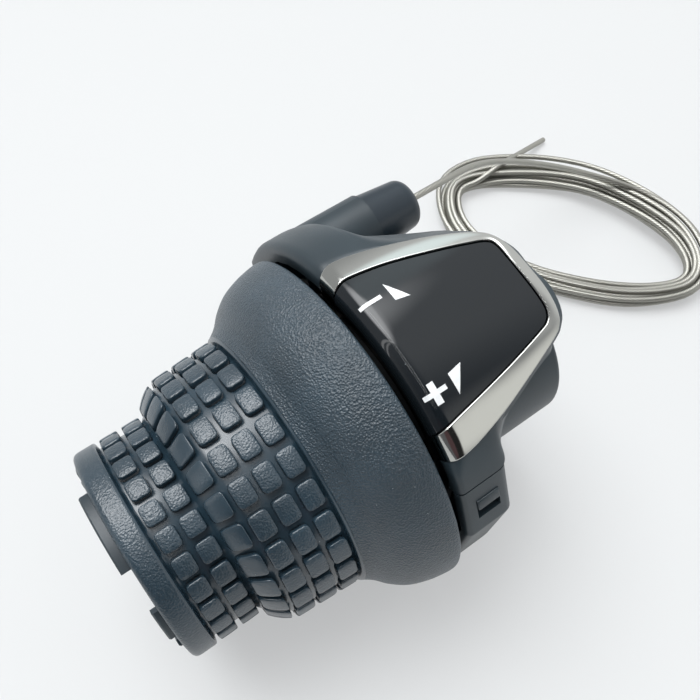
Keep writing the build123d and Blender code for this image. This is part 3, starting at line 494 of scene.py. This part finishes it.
share = add_node(tree, "ShaderNodeMath", {"operation": "MULTIPLY"}, i0=seen.outputs[0], i1=TABLE_GLOW)
paler = add_node(tree, "ShaderNodeMixShader", Fac=share.outputs[0], i1=shader.outputs["BSDF"],
                 i2=glow.outputs["Emission"])
tree.links.new(paler.outputs["Shader"], tree.nodes["Material Output"].inputs["Surface"])
floor.data.materials.append(white)
print("table at", FLOOR_Z)

# %% Lamps


def lamp(name, place, target, size, power):
    """A soft rectangular lamp that faces a point."""
    data = bpy.data.lights.new(name, "AREA")
    data.shape = "RECTANGLE"
    data.size, data.size_y, data.energy = size[0] * MM, size[1] * MM, power
    item = bpy.data.objects.new(name, data)
    item.location = Vector(place) * MM
    item.rotation_euler = (Vector(target) - Vector(place)).to_track_quat("-Z", "Y").to_euler()
    scene.collection.objects.link(item)


lamp("left strip", (-330, 60, 300), (0, 0, 20), (14, 900), 0.10)
lamp("low strip", (-360, 40, 190), (0, 0, 20), (10, 700), 0.05)
lamp("overhead strip", (-45, -60, 520), (-45, -10, 28), (4, 760), 0.25)
lamp("second strip", (-150, -60, 520), (-150, -10, 28), (4, 760), 0.2)

# %% World
ROOM = (0.50, 0.51, 0.52, 1.0)
PATCHES = [  # direction, full within, gone beyond (degrees), radiance
    ((0.75, 0.10, 0.65), 32, 62, (0.98, 0.99, 1.0, 1.0)),
    ((-0.35, -0.85, 0.35), 34, 72, (0.18, 0.18, 0.19, 1.0)),
    ((-0.05, 0.42, 0.905), 12, 28, (7.2, 7.3, 7.4, 1.0)),
    ((0.36, 0.62, 0.70), 2, 13, (1.45, 1.6, 1.65, 1.0)),
    ((0.39, -0.83, 0.39), 6, 22, (1.16, 1.16, 1.13, 1.0)),
    ((-0.20, -0.84, 0.45), 24, 30, (0.03, 0.03, 0.03, 1.0)),
    ((-0.46, -0.80, 0.34), 11, 17, (0.13, 0.08, 0.085, 1.0)),
]
world = bpy.data.worlds.new("bright_room")
world.use_nodes = True
tree = world.node_tree
way = add_node(tree, "ShaderNodeTexCoord").outputs["Generated"]
light = ROOM
for direction, full, gone, radiance in PATCHES:
    near = add_node(tree, "ShaderNodeVectorMath", {"operation": "DOT_PRODUCT"}, i0=way,
                    i1=Vector(direction).normalized())
    share = add_node(tree, "ShaderNodeMapRange", {"interpolation_type": "SMOOTHSTEP"},
                     Value=near.outputs["Value"], From_Min=math.cos(math.radians(gone)),
                     From_Max=math.cos(math.radians(full)))
    mixed = add_node(tree, "ShaderNodeMix", {"data_type": "RGBA"}, Factor=share.outputs["Result"], i6=light,
                     i7=radiance)
    light = mixed.outputs[2]
tree.links.new(light, tree.nodes["Background"].inputs["Color"])
scene.world = world
print("world", world.name)

# %% [markdown]
# ## Stranded steel
# The wire is drawn stainless steel, laid up in a helix and left bare: warm grey, with a soft sparkle where the
# strands catch the light. The curve's own UV map runs along it and round it, so the strands are slanted lines.

# %% Cable finish
wire, tree, shader, _ = start_material("stranded_stainless_wire")
STRANDS, LAY_MM, STRAND_DEPTH_MM = 12, 10.0, 0.02
uv = add_node(tree, "ShaderNodeUVMap")
split = add_node(tree, "ShaderNodeSeparateXYZ", Vector=uv.outputs["UV"]).outputs
turns = add_node(tree, "ShaderNodeMath", {"operation": "MULTIPLY"}, i0=split["X"],
                 i1=cable_length / (LAY_MM * MM) * STRANDS)
twist = add_node(tree, "ShaderNodeMath", {"operation": "MULTIPLY_ADD"}, i0=split["Y"], i1=float(STRANDS),
                 i2=turns.outputs[0])
phase = add_node(tree, "ShaderNodeMath", {"operation": "MULTIPLY"}, i0=twist.outputs[0], i1=math.tau)
ridge = add_node(tree, "ShaderNodeMath", {"operation": "SINE"}, i0=phase.outputs[0])
bump = add_node(tree, "ShaderNodeBump", Height=ridge.outputs[0], Distance=STRAND_DEPTH_MM * MM, Strength=0.7)
tree.links.new(bump.outputs["Normal"], shader.inputs["Normal"])
shader.inputs["Base Color"].default_value = colour("#a5a49d")
shader.inputs["Metallic"].default_value = 1.0
shader.inputs["Roughness"].default_value = 0.38
cable_curve.materials.append(wire)
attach(cable, "housing")
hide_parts("cable_run", "cable_coil", "cable_tail")
print("made", wire.name)

# %% [markdown]
# ## Moulded plastics and plain metals
# The housing is matt ABS, and inside it are acetal, nylon, fibre and plated steel. They differ in colour, gloss
# and metal, but all show the same two things up close: a slow change of tone and a fine surface texture. One
# function makes them all from those few facts.

# %% Finishes made from tone and texture
SMOOTHEST, ROUGHEST = 0.85, 1.15


def plain_finish(name, dark, light, cloud_mm, texture_mm, texture_depth, roughness, metallic=0.0):
    """A material with a slow change between two tones and a fine texture."""
    material, tree, shader, coords = start_material(name)
    tone = two_tones(tree, coords, cloud_mm, dark, light)
    texture = add_node(tree, "ShaderNodeTexNoise", Vector=coords, Scale=per_metre(texture_mm), Detail=2.0)
    bump = add_node(tree, "ShaderNodeBump", Height=texture.outputs["Fac"], Distance=texture_depth * MM,
                    Strength=1.0)
    shine = add_node(tree, "ShaderNodeMapRange", Value=texture.outputs["Fac"], To_Min=roughness * SMOOTHEST,
                     To_Max=roughness * ROUGHEST)
    tree.links.new(tone, shader.inputs["Base Color"])
    tree.links.new(bump.outputs["Normal"], shader.inputs["Normal"])
    tree.links.new(shine.outputs["Result"], shader.inputs["Roughness"])
    shader.inputs["Metallic"].default_value = metallic
    return material


# Matt ABS off an eroded tool: soft blue-grey sheen, no sharp highlight.
housing_abs = plain_finish("moulded_abs", "#232d33", "#2b383f", 14, 0.22, 0.012, 0.42)
# The barrel on the horn: the same ABS off a smooth tool, with a clearer sheen. Its darker colour is painted
# shade: the pod's shadow that falls on the barrel.
barrel_abs_painted_shade = plain_finish("abs_with_painted_shade", "#16222b", "#1c2a34", 14, 0.4, 0.006, 0.32)
# Nylon of the turning core: as dark as the housing and a little waxy.
core_nylon = plain_finish("glass_filled_nylon", "#222d34", "#2a373f", 10, 0.3, 0.01, 0.4)
# Acetal reel: black, smooth and waxy.
acetal = plain_finish("moulded_acetal", "#0c0e10", "#121518", 8, 0.5, 0.004, 0.45)
# Nylon liner and thrust washer: off-white and slightly waxy.
liner_nylon = plain_finish("extruded_nylon", "#cfcec8", "#dcdbd6", 8, 0.5, 0.004, 0.3)
# Pressed fibre, blackened with graphite: dull, with visible fibres.
fibre = plain_finish("pressed_fibre", "#100f0e", "#191715", 1.5, 0.25, 0.03, 0.8)
# Zinc plate: pale grey with a faint mottle.
zinc = plain_finish("zinc_plated_steel", "#a3a5a3", "#bcbdb9", 2.5, 0.3, 0.006, 0.34, 1.0)
# Spring steel: oiled and grey-blue.
spring = plain_finish("oiled_spring_steel", "#6d7073", "#84878a", 4, 0.2, 0.004, 0.3, 1.0)
# Cable inside the housing: drawn stainless wire.
drawn_wire = plain_finish("drawn_stainless_wire", "#98938a", "#aca79d", 1.0, 0.2, 0.01, 0.35, 1.0)
# Cable in the reel: the same wire under dark grease.
greased_wire = plain_finish("greased_stainless_wire", "#141312", "#1d1c1a", 1.0, 0.2, 0.01, 0.45, 1.0)
print("finishes", len(bpy.data.materials))

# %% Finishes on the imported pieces
NODE_FINISH = {
    "base_body": housing_abs, "cable_stop": barrel_abs_painted_shade,
    "cable_reel": acetal, "cable_guide": liner_nylon, "thrust_washer": liner_nylon, "friction_washer": fibre,
    "friction_spring": spring, "retaining_ring": spring, "clamp_bolt": zinc, "clamp_washer": zinc,
    "clamp_nut": zinc, "cover_screws": zinc, "cable_nipple": greased_wire, "cable_inner": drawn_wire,
    "cable_wrap": greased_wire,
}
for name, finish in NODE_FINISH.items():
    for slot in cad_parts[name].material_slots:
        slot.material = finish
print("dressed", len(NODE_FINISH), "packed pieces")

# %% [markdown]
# ## The turning core
# Under the rubber is a nylon tube: its bore turns on the housing's sleeve and its skirt fills the bulge. It is
# spun from one section, like the rubber. Tabs of different widths stand out at its outboard end, and at the
# other end three lands stand between the notches that drive the reel: both are short pieces of ring.

# %% Turning core
CORE_BORE, CORE_RADIUS, NECK_CORE, FLANGE_CORE, RECESS_RADIUS = 12.88, 14.58, 14.4, 15.8, 14.1
LAND_START, LAND_END, RECESS_END, SKIRT_WALL = -1.75, 0.65, -36.12, 1.7
FLANGE_CORE_END = GRIP_END + 1.8
skirt = [(RAMP_END, 18.1), (TREAD_END, 18.8), (-7.6, 24.2), (RIM_X, 25.5)]
core_section = [
    (GRIP_END, FLANGE_CORE), (FLANGE_CORE_END, FLANGE_CORE), (FLANGE_CORE_END, NECK_CORE),
    (RAMP_START, NECK_CORE), *skirt, *[(x, r - SKIRT_WALL) for x, r in reversed(skirt)],
    (RAMP_END, CORE_RADIUS), (LAND_START, CORE_RADIUS), (LAND_START, CORE_BORE), (RECESS_END, CORE_BORE),
    (RECESS_END, RECESS_RADIUS), (GRIP_END, RECESS_RADIUS),
]
core_points = [around(x, 360 * j / SPIN_STEPS, r) for x, r in core_section for j in range(SPIN_STEPS)]
core_faces = grid_faces(len(core_section), SPIN_STEPS, True, True)
print("core section", len(core_section))

# %% Tabs and lands


def add_ring_piece(section, start, end, step=3.0):
    """Adds a piece of ring with this section between two angles, closed at both ends."""
    count = 1 + math.ceil((end - start) / step)
    base, corners = len(core_points), len(section)
    angles = [start + (end - start) * j / (count - 1) for j in range(count)]
    core_points.extend(around(x, angle, r) for x, r in section for angle in angles)
    faces = grid_faces(corners, count, True, False)
    faces.append(tuple(i * count for i in range(corners)))
    faces.append(tuple(i * count + count - 1 for i in reversed(range(corners))))
    core_faces.extend(tuple(base + i for i in face) for face in faces)


CORE_SHARP = math.radians(30)
TAB_INNER, TAB_OUTER, TAB_CHAMFER, TAB_ROOT = 14.35, 15.55, 0.25, 0.4
TABS = [  # from angle, to angle, length
    (-21.5, 24.5, 1.45), (49.0, 70.0, 1.0), (125.0, 150.0, 1.45), (166.5, 196.5, 1.0), (218.5, 264.5, 1.45),
    (286.5, 316.5, 0.3),
]
for start, end, length in TABS:
    tip, root = GRIP_END - length, GRIP_END + TAB_ROOT
    add_ring_piece([(tip, TAB_OUTER - TAB_CHAMFER), (tip + TAB_CHAMFER, TAB_OUTER), (root, TAB_OUTER),
                    (root, TAB_INNER), (tip, TAB_INNER)], start, end)
NOTCH_COUNT, NOTCH_HALF = 3, 15.44
for k in range(NOTCH_COUNT):
    notch, root = 360 / NOTCH_COUNT * k, LAND_START - TAB_ROOT
    add_ring_piece([(root, CORE_RADIUS), (LAND_END, CORE_RADIUS), (LAND_END, CORE_BORE), (root, CORE_BORE)],
                   notch + NOTCH_HALF, notch + 360 / NOTCH_COUNT - NOTCH_HALF)
core = new_piece("turning_core", core_points, core_faces)
core.data.set_sharp_from_angle(angle=CORE_SHARP)
core.data.materials.append(core_nylon)
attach(core, "grip")
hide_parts("grip_core")
print("core faces", len(core_faces), "tabs", len(TABS))

# %% [markdown]
# ## The pod's outlines
# Panel, trim and top cover share two outlines: the trim's outer edge and its inner edge. Both are drawn on the
# round top of the pod, as places along the bar and angles from the pod's middle. Places below the lip's start
# run on over the rounded front edge. Pieces made from the same two lines can only fit each other.

# %% Trim outlines
POD_LEAN = 12.5
LIP_FRONT, LIP_ROUND, LIP_LOW = 0.97, 2.4, -0.7
TRIM_OUTER = [(LIP_LOW, -32.1), (1.5, -32.6), (4.4, -33.0), (9.1, -30.0), (15.4, -24.2), (19.4, -19.8),
              (22.2, -16.0), (23.6, -12.4), (24.3, -7.2), (24.5, 0.0), (24.7, 8.0), (24.35, 14.3), (23.5, 17.6),
              (21.8, 19.9), (15.7, 25.0), (11.0, 28.7), (5.8, 31.9), (2.7, 32.9), (1.5, 33.1), (LIP_LOW, 33.0)]
TRIM_INNER = [(LIP_LOW, -24.7), (1.5, -24.9), (4.0, -25.0), (9.2, -22.7), (15.8, -18.0), (20.1, -14.6),
              (22.2, -12.6), (22.95, -10.4), (23.0, -5.5), (23.05, 1.2), (23.2, 8.8), (23.05, 12.6), (22.2, 15.0),
              (20.5, 16.2), (15.4, 18.7), (10.0, 20.9), (5.5, 22.5), (2.7, 23.6), (1.5, 24.2), (LIP_LOW, 25.3)]
OUTLINE_STEPS = 6
outer_line = eased(TRIM_OUTER, OUTLINE_STEPS)
inner_line = eased(TRIM_INNER, OUTLINE_STEPS)


def pod_place(along, angle, radius, lip=LIP_ROUND):
    """A point over the pod: along its round top, then down over the lip by the grip."""
    start = LIP_FRONT + lip
    if along < start:
        a = (start - along) / lip
        past = max(0.0, a - math.pi / 2) * lip
        a = min(a, math.pi / 2)
        along = start - lip * math.sin(a)
        radius = radius - lip + lip * math.cos(a) - past
    return around(along, angle + POD_LEAN, radius)


print("outline points", len(outer_line))

# %% [markdown]
# ## The chrome trim
# The trim is a plated plastic strip round three sides of the panel, bent down over the lip at both ends. A
# section with small bevels is swept between the two outlines, and the bevels catch the light as real ones do.

# %% Chrome trim
TRIM_TOP, TRIM_DEPTH, TRIM_BEVEL, TRIM_CROWN = 28.75, 1.2, 0.14, 0.04
POD_SHARP = math.radians(50)


def trim_section(outer, inner):
    """Points round the trim's section at one place, from the outer foot over the top to the inner foot."""
    width = math.hypot(inner.x - outer.x, math.radians(inner.y - outer.y) * TRIM_TOP)
    edge = TRIM_BEVEL / width
    half = [(0, -TRIM_DEPTH), (0, -TRIM_BEVEL), (edge * 0.35, -0.04), (edge, 0.0),
            (edge * 1.5, TRIM_CROWN * 0.1), (0.25, TRIM_CROWN * 0.7), (0.5, TRIM_CROWN)]
    steps = half + [(1 - share, rise) for share, rise in half[-2::-1]]
    return [pod_place(*outer.lerp(inner, share), TRIM_TOP + rise) for share, rise in steps]


rings = [trim_section(a, b) for a, b in zip(outer_line, inner_line)]
ring_size = len(rings[0])
trim_faces = grid_faces(len(rings), ring_size, False, True)
trim_faces.append(tuple(reversed(range(ring_size))))
trim_faces.append(tuple(range((len(rings) - 1) * ring_size, len(rings) * ring_size)))
trim = new_piece("bright_trim", [p for ring in rings for p in ring], trim_faces)
trim.data.set_sharp_from_angle(angle=POD_SHARP)
print("trim faces", len(trim_faces))

# %% Chrome plate
# Bright chrome on plastic: a clean mirror, very slightly uneven, as moulded parts under plating are.
chrome, tree, shader, coords = start_material("chrome_plate")
WAVE_MM, WAVE_DEPTH_MM, HAZE_MM = 5.0, 0.03, 1.2
waves = add_node(tree, "ShaderNodeTexNoise", Vector=coords, Scale=per_metre(WAVE_MM), Detail=1.0)
bump = add_node(tree, "ShaderNodeBump", Height=waves.outputs["Fac"], Distance=WAVE_DEPTH_MM * MM, Strength=1.0)
haze = add_node(tree, "ShaderNodeTexNoise", Vector=coords, Scale=per_metre(HAZE_MM), Detail=3.0)
dull = add_node(tree, "ShaderNodeMapRange", Value=haze.outputs["Fac"], To_Min=0.05, To_Max=0.14)
tree.links.new(bump.outputs["Normal"], shader.inputs["Normal"])
tree.links.new(dull.outputs["Result"], shader.inputs["Roughness"])
shader.inputs["Base Color"].default_value = colour("#b6b7b3")
shader.inputs["Metallic"].default_value = 1.0
trim.data.materials.append(chrome)
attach(trim, "housing")
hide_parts("chrome_trim")
print("made", chrome.name)

# %% [markdown]
# ## The glossy panel
# The panel is a thin sheet of black acrylic that fills the trim and rolls over the lip. Rungs run across from
# the outline's far side to its near side and bow more and more, until the last one is the tip's own edge. A
# helper then gives the sheet its thickness: it moves a copy inwards along the normals and walls up the edges.

# %% Helper for closed shells


def shell(points, faces, thickness):
    """Points and faces of a closed shell: the sheet, a copy moved inwards, and walls along the open edges."""
    sheet = bpy.data.meshes.new("sheet")
    sheet.from_pydata(points, [], faces)
    sheet.update()
    inner = [tuple(Vector(p) - v.normal * thickness) for p, v in zip(points, sheet.vertices)]
    bpy.data.meshes.remove(sheet)
    count = len(points)
    edges = {(a, b) for face in faces for a, b in zip(face, face[1:] + face[:1])}
    walls = [(b, a, a + count, b + count) for a, b in edges if (b, a) not in edges]
    backs = [tuple(i + count for i in reversed(face)) for face in faces]
    return list(points) + inner, list(faces) + backs + sorted(walls)


print("shell helper ready")

# %% Panel
PANEL_TOP, PANEL_THICKNESS = 28.4, 1.0
PANEL_GAP, GAP_FROM, BOW_POWER = 0.985, 12, 4
TIP_FROM, TIP_TO = 7 * OUTLINE_STEPS, 12 * OUTLINE_STEPS  # the tip's stretch of the inner outline
far_side, tip_side = inner_line[:TIP_FROM + 1], inner_line[TIP_FROM:TIP_TO + 1]
near_side = inner_line[:TIP_TO - 1:-1]
across = len(tip_side) - 1
panel_points = []
for i, (far, near) in enumerate(zip(far_side, near_side)):
    blend = (i / TIP_FROM) ** BOW_POWER
    for j, tip in enumerate(tip_side):
        share = j / across
        bow = tip - tip_side[0].lerp(tip_side[-1], share)
        spot = far.lerp(near, share) + bow * blend
        along = spot.x if spot.x < GAP_FROM else GAP_FROM + (spot.x - GAP_FROM) * PANEL_GAP
        panel_points.append(pod_place(along, spot.y * PANEL_GAP, PANEL_TOP))
panel_faces = grid_faces(len(far_side), across + 1)
panel = new_piece("gloss_panel", *shell(panel_points, panel_faces, PANEL_THICKNESS))
panel.data.set_sharp_from_angle(angle=POD_SHARP)
print("panel faces", len(panel.data.polygons))

# %% Black acrylic
# Polished black acrylic: deep black with a clear mirror on top, faint hairline wear and a little dust.
acrylic, tree, shader, coords = start_material("polished_black_acrylic")
WEAR_MM = 3.0
wear = add_node(tree, "ShaderNodeTexNoise", Vector=coords, Scale=per_metre(WEAR_MM), Detail=6.0, Roughness=0.7)
blur = add_node(tree, "ShaderNodeMapRange", Value=wear.outputs["Fac"], From_Min=0.35, From_Max=0.75,
                To_Min=0.02, To_Max=0.09)
tree.links.new(dusted(tree, coords, colour("#161b1f"), reach=0.05), shader.inputs["Base Color"])
tree.links.new(blur.outputs["Result"], shader.inputs["Roughness"])
shader.inputs["IOR"].default_value = 1.49
panel.data.materials.append(acrylic)
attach(panel, "housing")
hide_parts("display_panel")
print("made", acrylic.name)

# %% [markdown]
# ## The printed signs
# Four plain signs are printed on the panel: minus, plus and a small wedge beside each, which show the two ways
# to turn. Ink is only a skin, so each sign is a thin shell that follows the panel's curve.

# %% Sign shapes
INK_TOP, INK_THICKNESS = 28.425, 0.05
sign_points, sign_faces = [], []


def add_sign(points, faces):
    """Adds one sign, given as places on the panel."""
    places = [pod_place(along, angle - POD_LEAN, INK_TOP) for along, angle in points]
    made_points, made_faces = shell(places, faces, INK_THICKNESS)
    base = len(sign_points)
    sign_points.extend(made_points)
    sign_faces.extend(tuple(i + base for i in face) for face in made_faces)


def add_cells(xs, angles, keep):
    """Adds a sign made of the kept cells of a small grid."""
    spots = [(x, angle) for x in xs for angle in angles]
    cells = grid_faces(len(xs), len(angles))
    columns = len(angles) - 1
    chosen = [cell for k, cell in enumerate(cells) if keep(k // columns, k % columns)]
    used = sorted({i for cell in chosen for i in cell})
    order = {old: new for new, old in enumerate(used)}
    add_sign([spots[i] for i in used], [tuple(order[i] for i in cell) for cell in chosen])


def add_wedge(a, b, c, steps=6):
    """Adds a small triangle, divided so that it follows the panel."""
    corners = [Vector(p) for p in (a, b, c)]
    spots, index = [], {}
    for i in range(steps + 1):
        for j in range(steps + 1 - i):
            index[i, j] = len(spots)
            spots.append(tuple((corners[0] * (steps - i - j) + corners[1] * i + corners[2] * j) / steps))
    cells = []
    for i in range(steps):
        for j in range(steps - i):
            cells.append((index[i, j], index[i + 1, j], index[i, j + 1]))
            if j < steps - i - 1:
                cells.append((index[i + 1, j], index[i + 1, j + 1], index[i, j + 1]))
    add_sign(spots, cells)


print("sign helpers ready")

# %% Four signs
MINUS_START, MINUS_LENGTH, MINUS_CELLS = 1.9, 3.55, 16
MINUS_ANGLES = [-2.95, -2.35, -1.75]
PLUS_X = [1.9, 2.2, 2.5, 2.8, 3.17, 3.68, 4.19, 4.55, 4.9, 5.2, 5.47]
PLUS_ANGLES = [23.9, 25.1, 26.3, 27.0, 27.7, 29.0, 30.17]
PLUS_ROWS, PLUS_COLUMNS = (4, 5), (2, 3)
WEDGES = [((6.73, -5.31), (6.63, 0.78), (8.68, 1.79)), ((6.49, 24.54), (6.51, 30.76), (8.75, 23.81))]
minus_x = [MINUS_START + MINUS_LENGTH * k / MINUS_CELLS for k in range(MINUS_CELLS + 1)]
add_cells(minus_x, MINUS_ANGLES, lambda i, j: True)
add_cells(PLUS_X, PLUS_ANGLES, lambda i, j: j in PLUS_COLUMNS or i in PLUS_ROWS)
for wedge in WEDGES:
    add_wedge(*wedge)
signs = new_piece("panel_signs", sign_points, sign_faces)
signs.data.set_sharp_from_angle(angle=POD_SHARP)
print("sign faces", len(sign_faces))

# %% White ink
# Pad-printed ink: flat white, with a faint change of tone.
ink = plain_finish("white_printing_ink", "#e2e5e6", "#f0f2f2", 1.2, 0.2, 0.002, 0.4)
signs.data.materials.append(ink)
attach(signs, "housing")
print("made", ink.name)

# %% [markdown]
# ## The top cover
# The cover is one smooth moulding: from the trim its walls fall to the ring on either side and to the pod's
# lower edge at the tip. It is a loft. Each line starts at the trim's outer edge and ends at the cover's lower
# edge. Its foot is given as place along the bar, angle and distance from the bar's centre.

# %% Lines of the cover
NEAR_SEAM, FAR_SEAM = 45.25, -65.8


def from_pod(x, across, up):
    """Place, angle and radius from a point measured across and up the pod."""
    return (x, math.degrees(math.atan2(across, up)), math.hypot(across, up))


COVER = [  # top: along, angle; foot: along, angle, radius; how hollow the wall is
    ((LIP_LOW, -32.1), (-2.1, FAR_SEAM - 31, 31.4), -0.3),
    ((1.5, -32.6), (1.0, FAR_SEAM - 27, 31.5), -0.3),
    ((4.4, -33.0), (4.0, FAR_SEAM - 17, 30.9), -0.25),
    ((6.8, -31.7), (6.4, FAR_SEAM - 7, 30.1), -0.2),
    ((8.2, -30.8), (8.3, FAR_SEAM, 29.4), -0.1),
    ((9.1, -30.0), (8.85, -58.0, 28.9), 0.05),
    ((10.2, -29.1), (9.1, -52.0, 28.6), 0.15),
    ((11.6, -27.9), from_pod(9.9, -20.2, 19.0), 0.3),
    ((13.4, -26.2), from_pod(11.4, -18.6, 19.2), 0.5),
    ((15.4, -24.2), from_pod(13.6, -17.2, 19.3), 0.5),
    ((19.4, -19.8), from_pod(18.4, -14.8, 19.3), 0.4),
    ((22.2, -16.0), from_pod(21.8, -13.2, 19.3), 0.3),
    ((23.6, -12.4), from_pod(24.2, -11.4, 19.4), 0.2),
    ((24.3, -7.2), from_pod(25.5, -7.4, 19.6), 0.1),
    ((24.5, 0.0), from_pod(25.7, 0.0, 19.8), 0.1),
    ((24.7, 8.0), from_pod(25.6, 6.6, 20.0), 0.1),
    ((24.35, 14.3), from_pod(24.9, 9.4, 20.3), 0.2),
    ((23.5, 17.6), from_pod(23.6, 10.6, 20.5), 0.3),
    ((21.8, 19.9), from_pod(21.5, 11.2, 20.5), 0.4),
    ((15.7, 25.0), from_pod(15.5, 13.1, 20.5), 0.5),
    ((12.6, 27.5), from_pod(12.2, 14.6, 20.5), 0.5),
    ((11.0, 28.7), from_pod(10.4, 16.0, 20.4), 0.4),
    ((9.6, 29.7), from_pod(9.6, 17.0, 20.4), 0.3),
    ((8.6, 30.4), (9.3, NEAR_SEAM - 3.0, 27.1), 0.2),
    ((7.5, 31.0), (8.8, NEAR_SEAM - 0.75, 27.35), 0.15),
    ((6.4, 31.5), (7.7, NEAR_SEAM, 27.5), 0.15),
    ((5.0, 32.1), (5.4, NEAR_SEAM, 27.5), 0.1),
    ((2.7, 32.9), (2.7, NEAR_SEAM, 27.5), 0.1),
    ((1.5, 33.1), (1.5, NEAR_SEAM, 27.5), 0.1),
    ((LIP_LOW, 33.0), (LIP_LOW, NEAR_SEAM, 27.4), 0.1),
]
print("lines", len(COVER))

# %% Top cover
COVER_TOP, COVER_WALL, COVER_STEPS = 28.5, 1.2, 4
TRIM_JOINT, JOINT_DEPTH = 1.003, 0.16
EDGE_ROUND, EDGE_PACE = 1.0, 2.5
tops = eased([line[0] for line in COVER], COVER_STEPS)
feet = eased([(*line[1], line[2]) for line in COVER], COVER_STEPS)
WALL_SHARES = (0.015, 0.05, 0.12, 0.22, 0.34, 0.47, 0.6, 0.73, 0.85, 0.94, 1.0)
TUCK, SHORT_TUCK, TUCK_FROM, TUCK_SLOPE = 3.6, 0.3, -40.0, 0.3
cover_points = []
for top, foot in zip(tops, feet):
    top = Vector((top.x, top.y * TRIM_JOINT))
    cover_points.append(pod_place(*top, COVER_TOP - JOINT_DEPTH))
    for share in WALL_SHARES:
        fall = 1 - (1 - share) ** (1 + foot.w)
        along = top.x + (foot.x - top.x) * share
        angle = top.y + (foot.y - top.y) * share
        radius = COVER_TOP + (foot.z - COVER_TOP) * fall
        lip = LIP_ROUND + (EDGE_ROUND - LIP_ROUND) * min(1.0, share * EDGE_PACE)
        cover_points.append(pod_place(along, angle, radius, lip))
    tuck = min(TUCK, max(SHORT_TUCK, (TUCK_FROM - foot.y) * TUCK_SLOPE))
    cover_points.append(pod_place(foot.x, foot.y, foot.z - tuck, EDGE_ROUND))
row = 2 + len(WALL_SHARES)
cover_faces = [face[::-1] for face in grid_faces(len(tops), row)]
cover_points, cover_faces = shell(cover_points, cover_faces, COVER_WALL)
print("lines of the cover", len(tops), "points on each", row)

# %% Snap hook of the top cover
# The hook stands in the bottom cover's window and belongs to the same moulding as the top cover.
HOOK_X, HOOK_ANGLE, HOOK_HALF, HOOK_HALF_ANGLE = 5.15, 66.4, 1.85, 2.0
HOOK_RINGS = [(0.0, 25.5), (0.0, 27.2), (0.06, 27.34), (0.2, 27.4)]
base = len(cover_points)
for inset, radius in HOOK_RINGS:
    half_angle = HOOK_HALF_ANGLE - math.degrees(inset / radius)
    for sx, sy in CORNERS:
        cover_points.append(around(HOOK_X + sx * (HOOK_HALF - inset), HOOK_ANGLE + sy * half_angle, radius))
hook_faces = [face[::-1] for face in grid_faces(len(HOOK_RINGS), len(CORNERS), False, True)]
last = len(CORNERS) * (len(HOOK_RINGS) - 1)
hook_faces += [(0, 1, 2, 3), (last + 3, last + 2, last + 1, last)]
cover_faces += [tuple(base + i for i in face) for face in hook_faces]
cover = new_piece("top_shell", cover_points, cover_faces)
cover.data.set_sharp_from_angle(angle=POD_SHARP)
cover.data.materials.append(housing_abs)
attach(cover, "housing")
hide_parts("top_cover")
print("cover faces", len(cover.data.polygons))

# %% [markdown]
# ## The bottom cover
# The lower half of the ring has two flat facets on the rider's side: one carries the window for the snap hook,
# and below a soft crease the next turns under towards the table. Its section is swept round the bar through a
# radius that follows the facets, and the cells of the window are left out.

# %% Bottom cover
RING_RADIUS, RING_WALL, LOW_START, LOW_END = 27.5, 1.7, 58.25, 254.8
FACETS = [(68.0, 10.2), (94.0, 15.8)]  # middle, half width
CREASE = (77.6, 78.2, 78.8)
FINE_STEPS, COARSE_STEPS = (60, 1.4, 37), (112, 3, 48)  # first angle, step, count
WINDOW_X, WINDOW_ANGLE = (3.2, 7.1), (64.2, 72.6)
LOW_SHARP = math.radians(40)
LOW_SECTION = [
    (1.0, -1.7), (1.0, -0.9), (1.07, -0.55), (1.26, -0.26), (1.55, -0.07), (1.9, 0.0), (3.2, 0.0), (4.6, 0.0),
    (5.9, 0.0), (7.1, 0.0), (7.9, -0.03), (8.35, -0.15), (8.75, -0.38), (9.05, -0.7), (9.25, -1.1), (9.35, -1.6),
]


def ring_radius(angle):
    """The ring's radius, less where a facet cuts it."""
    flat = [RING_RADIUS * math.cos(math.radians(half)) / math.cos(math.radians(angle - middle))
            for middle, half in FACETS if abs(angle - middle) < half]
    return min([RING_RADIUS, *flat])


steps = {first + step * k for first, step, count in (FINE_STEPS, COARSE_STEPS) for k in range(count)}
angles = sorted({LOW_START, *WINDOW_ANGLE, *CREASE, LOW_END, *steps})
low_points = [around(x, angle, ring_radius(angle) + rise) for angle in angles for x, rise in LOW_SECTION]
low_faces = []
for face in grid_faces(len(angles), len(LOW_SECTION)):
    angle, x = angles[face[0] // len(LOW_SECTION)], LOW_SECTION[face[0] % len(LOW_SECTION)][0]
    in_window = WINDOW_ANGLE[0] <= angle < WINDOW_ANGLE[1] and WINDOW_X[0] <= x < WINDOW_X[1]
    if not in_window:
        low_faces.append(face[::-1])
lower = new_piece("lower_shell", *shell(low_points, low_faces, RING_WALL))
lower.data.set_sharp_from_angle(angle=LOW_SHARP)
lower.data.materials.append(housing_abs)
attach(lower, "housing")
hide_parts("bottom_cover")
print("lower faces", len(low_faces))
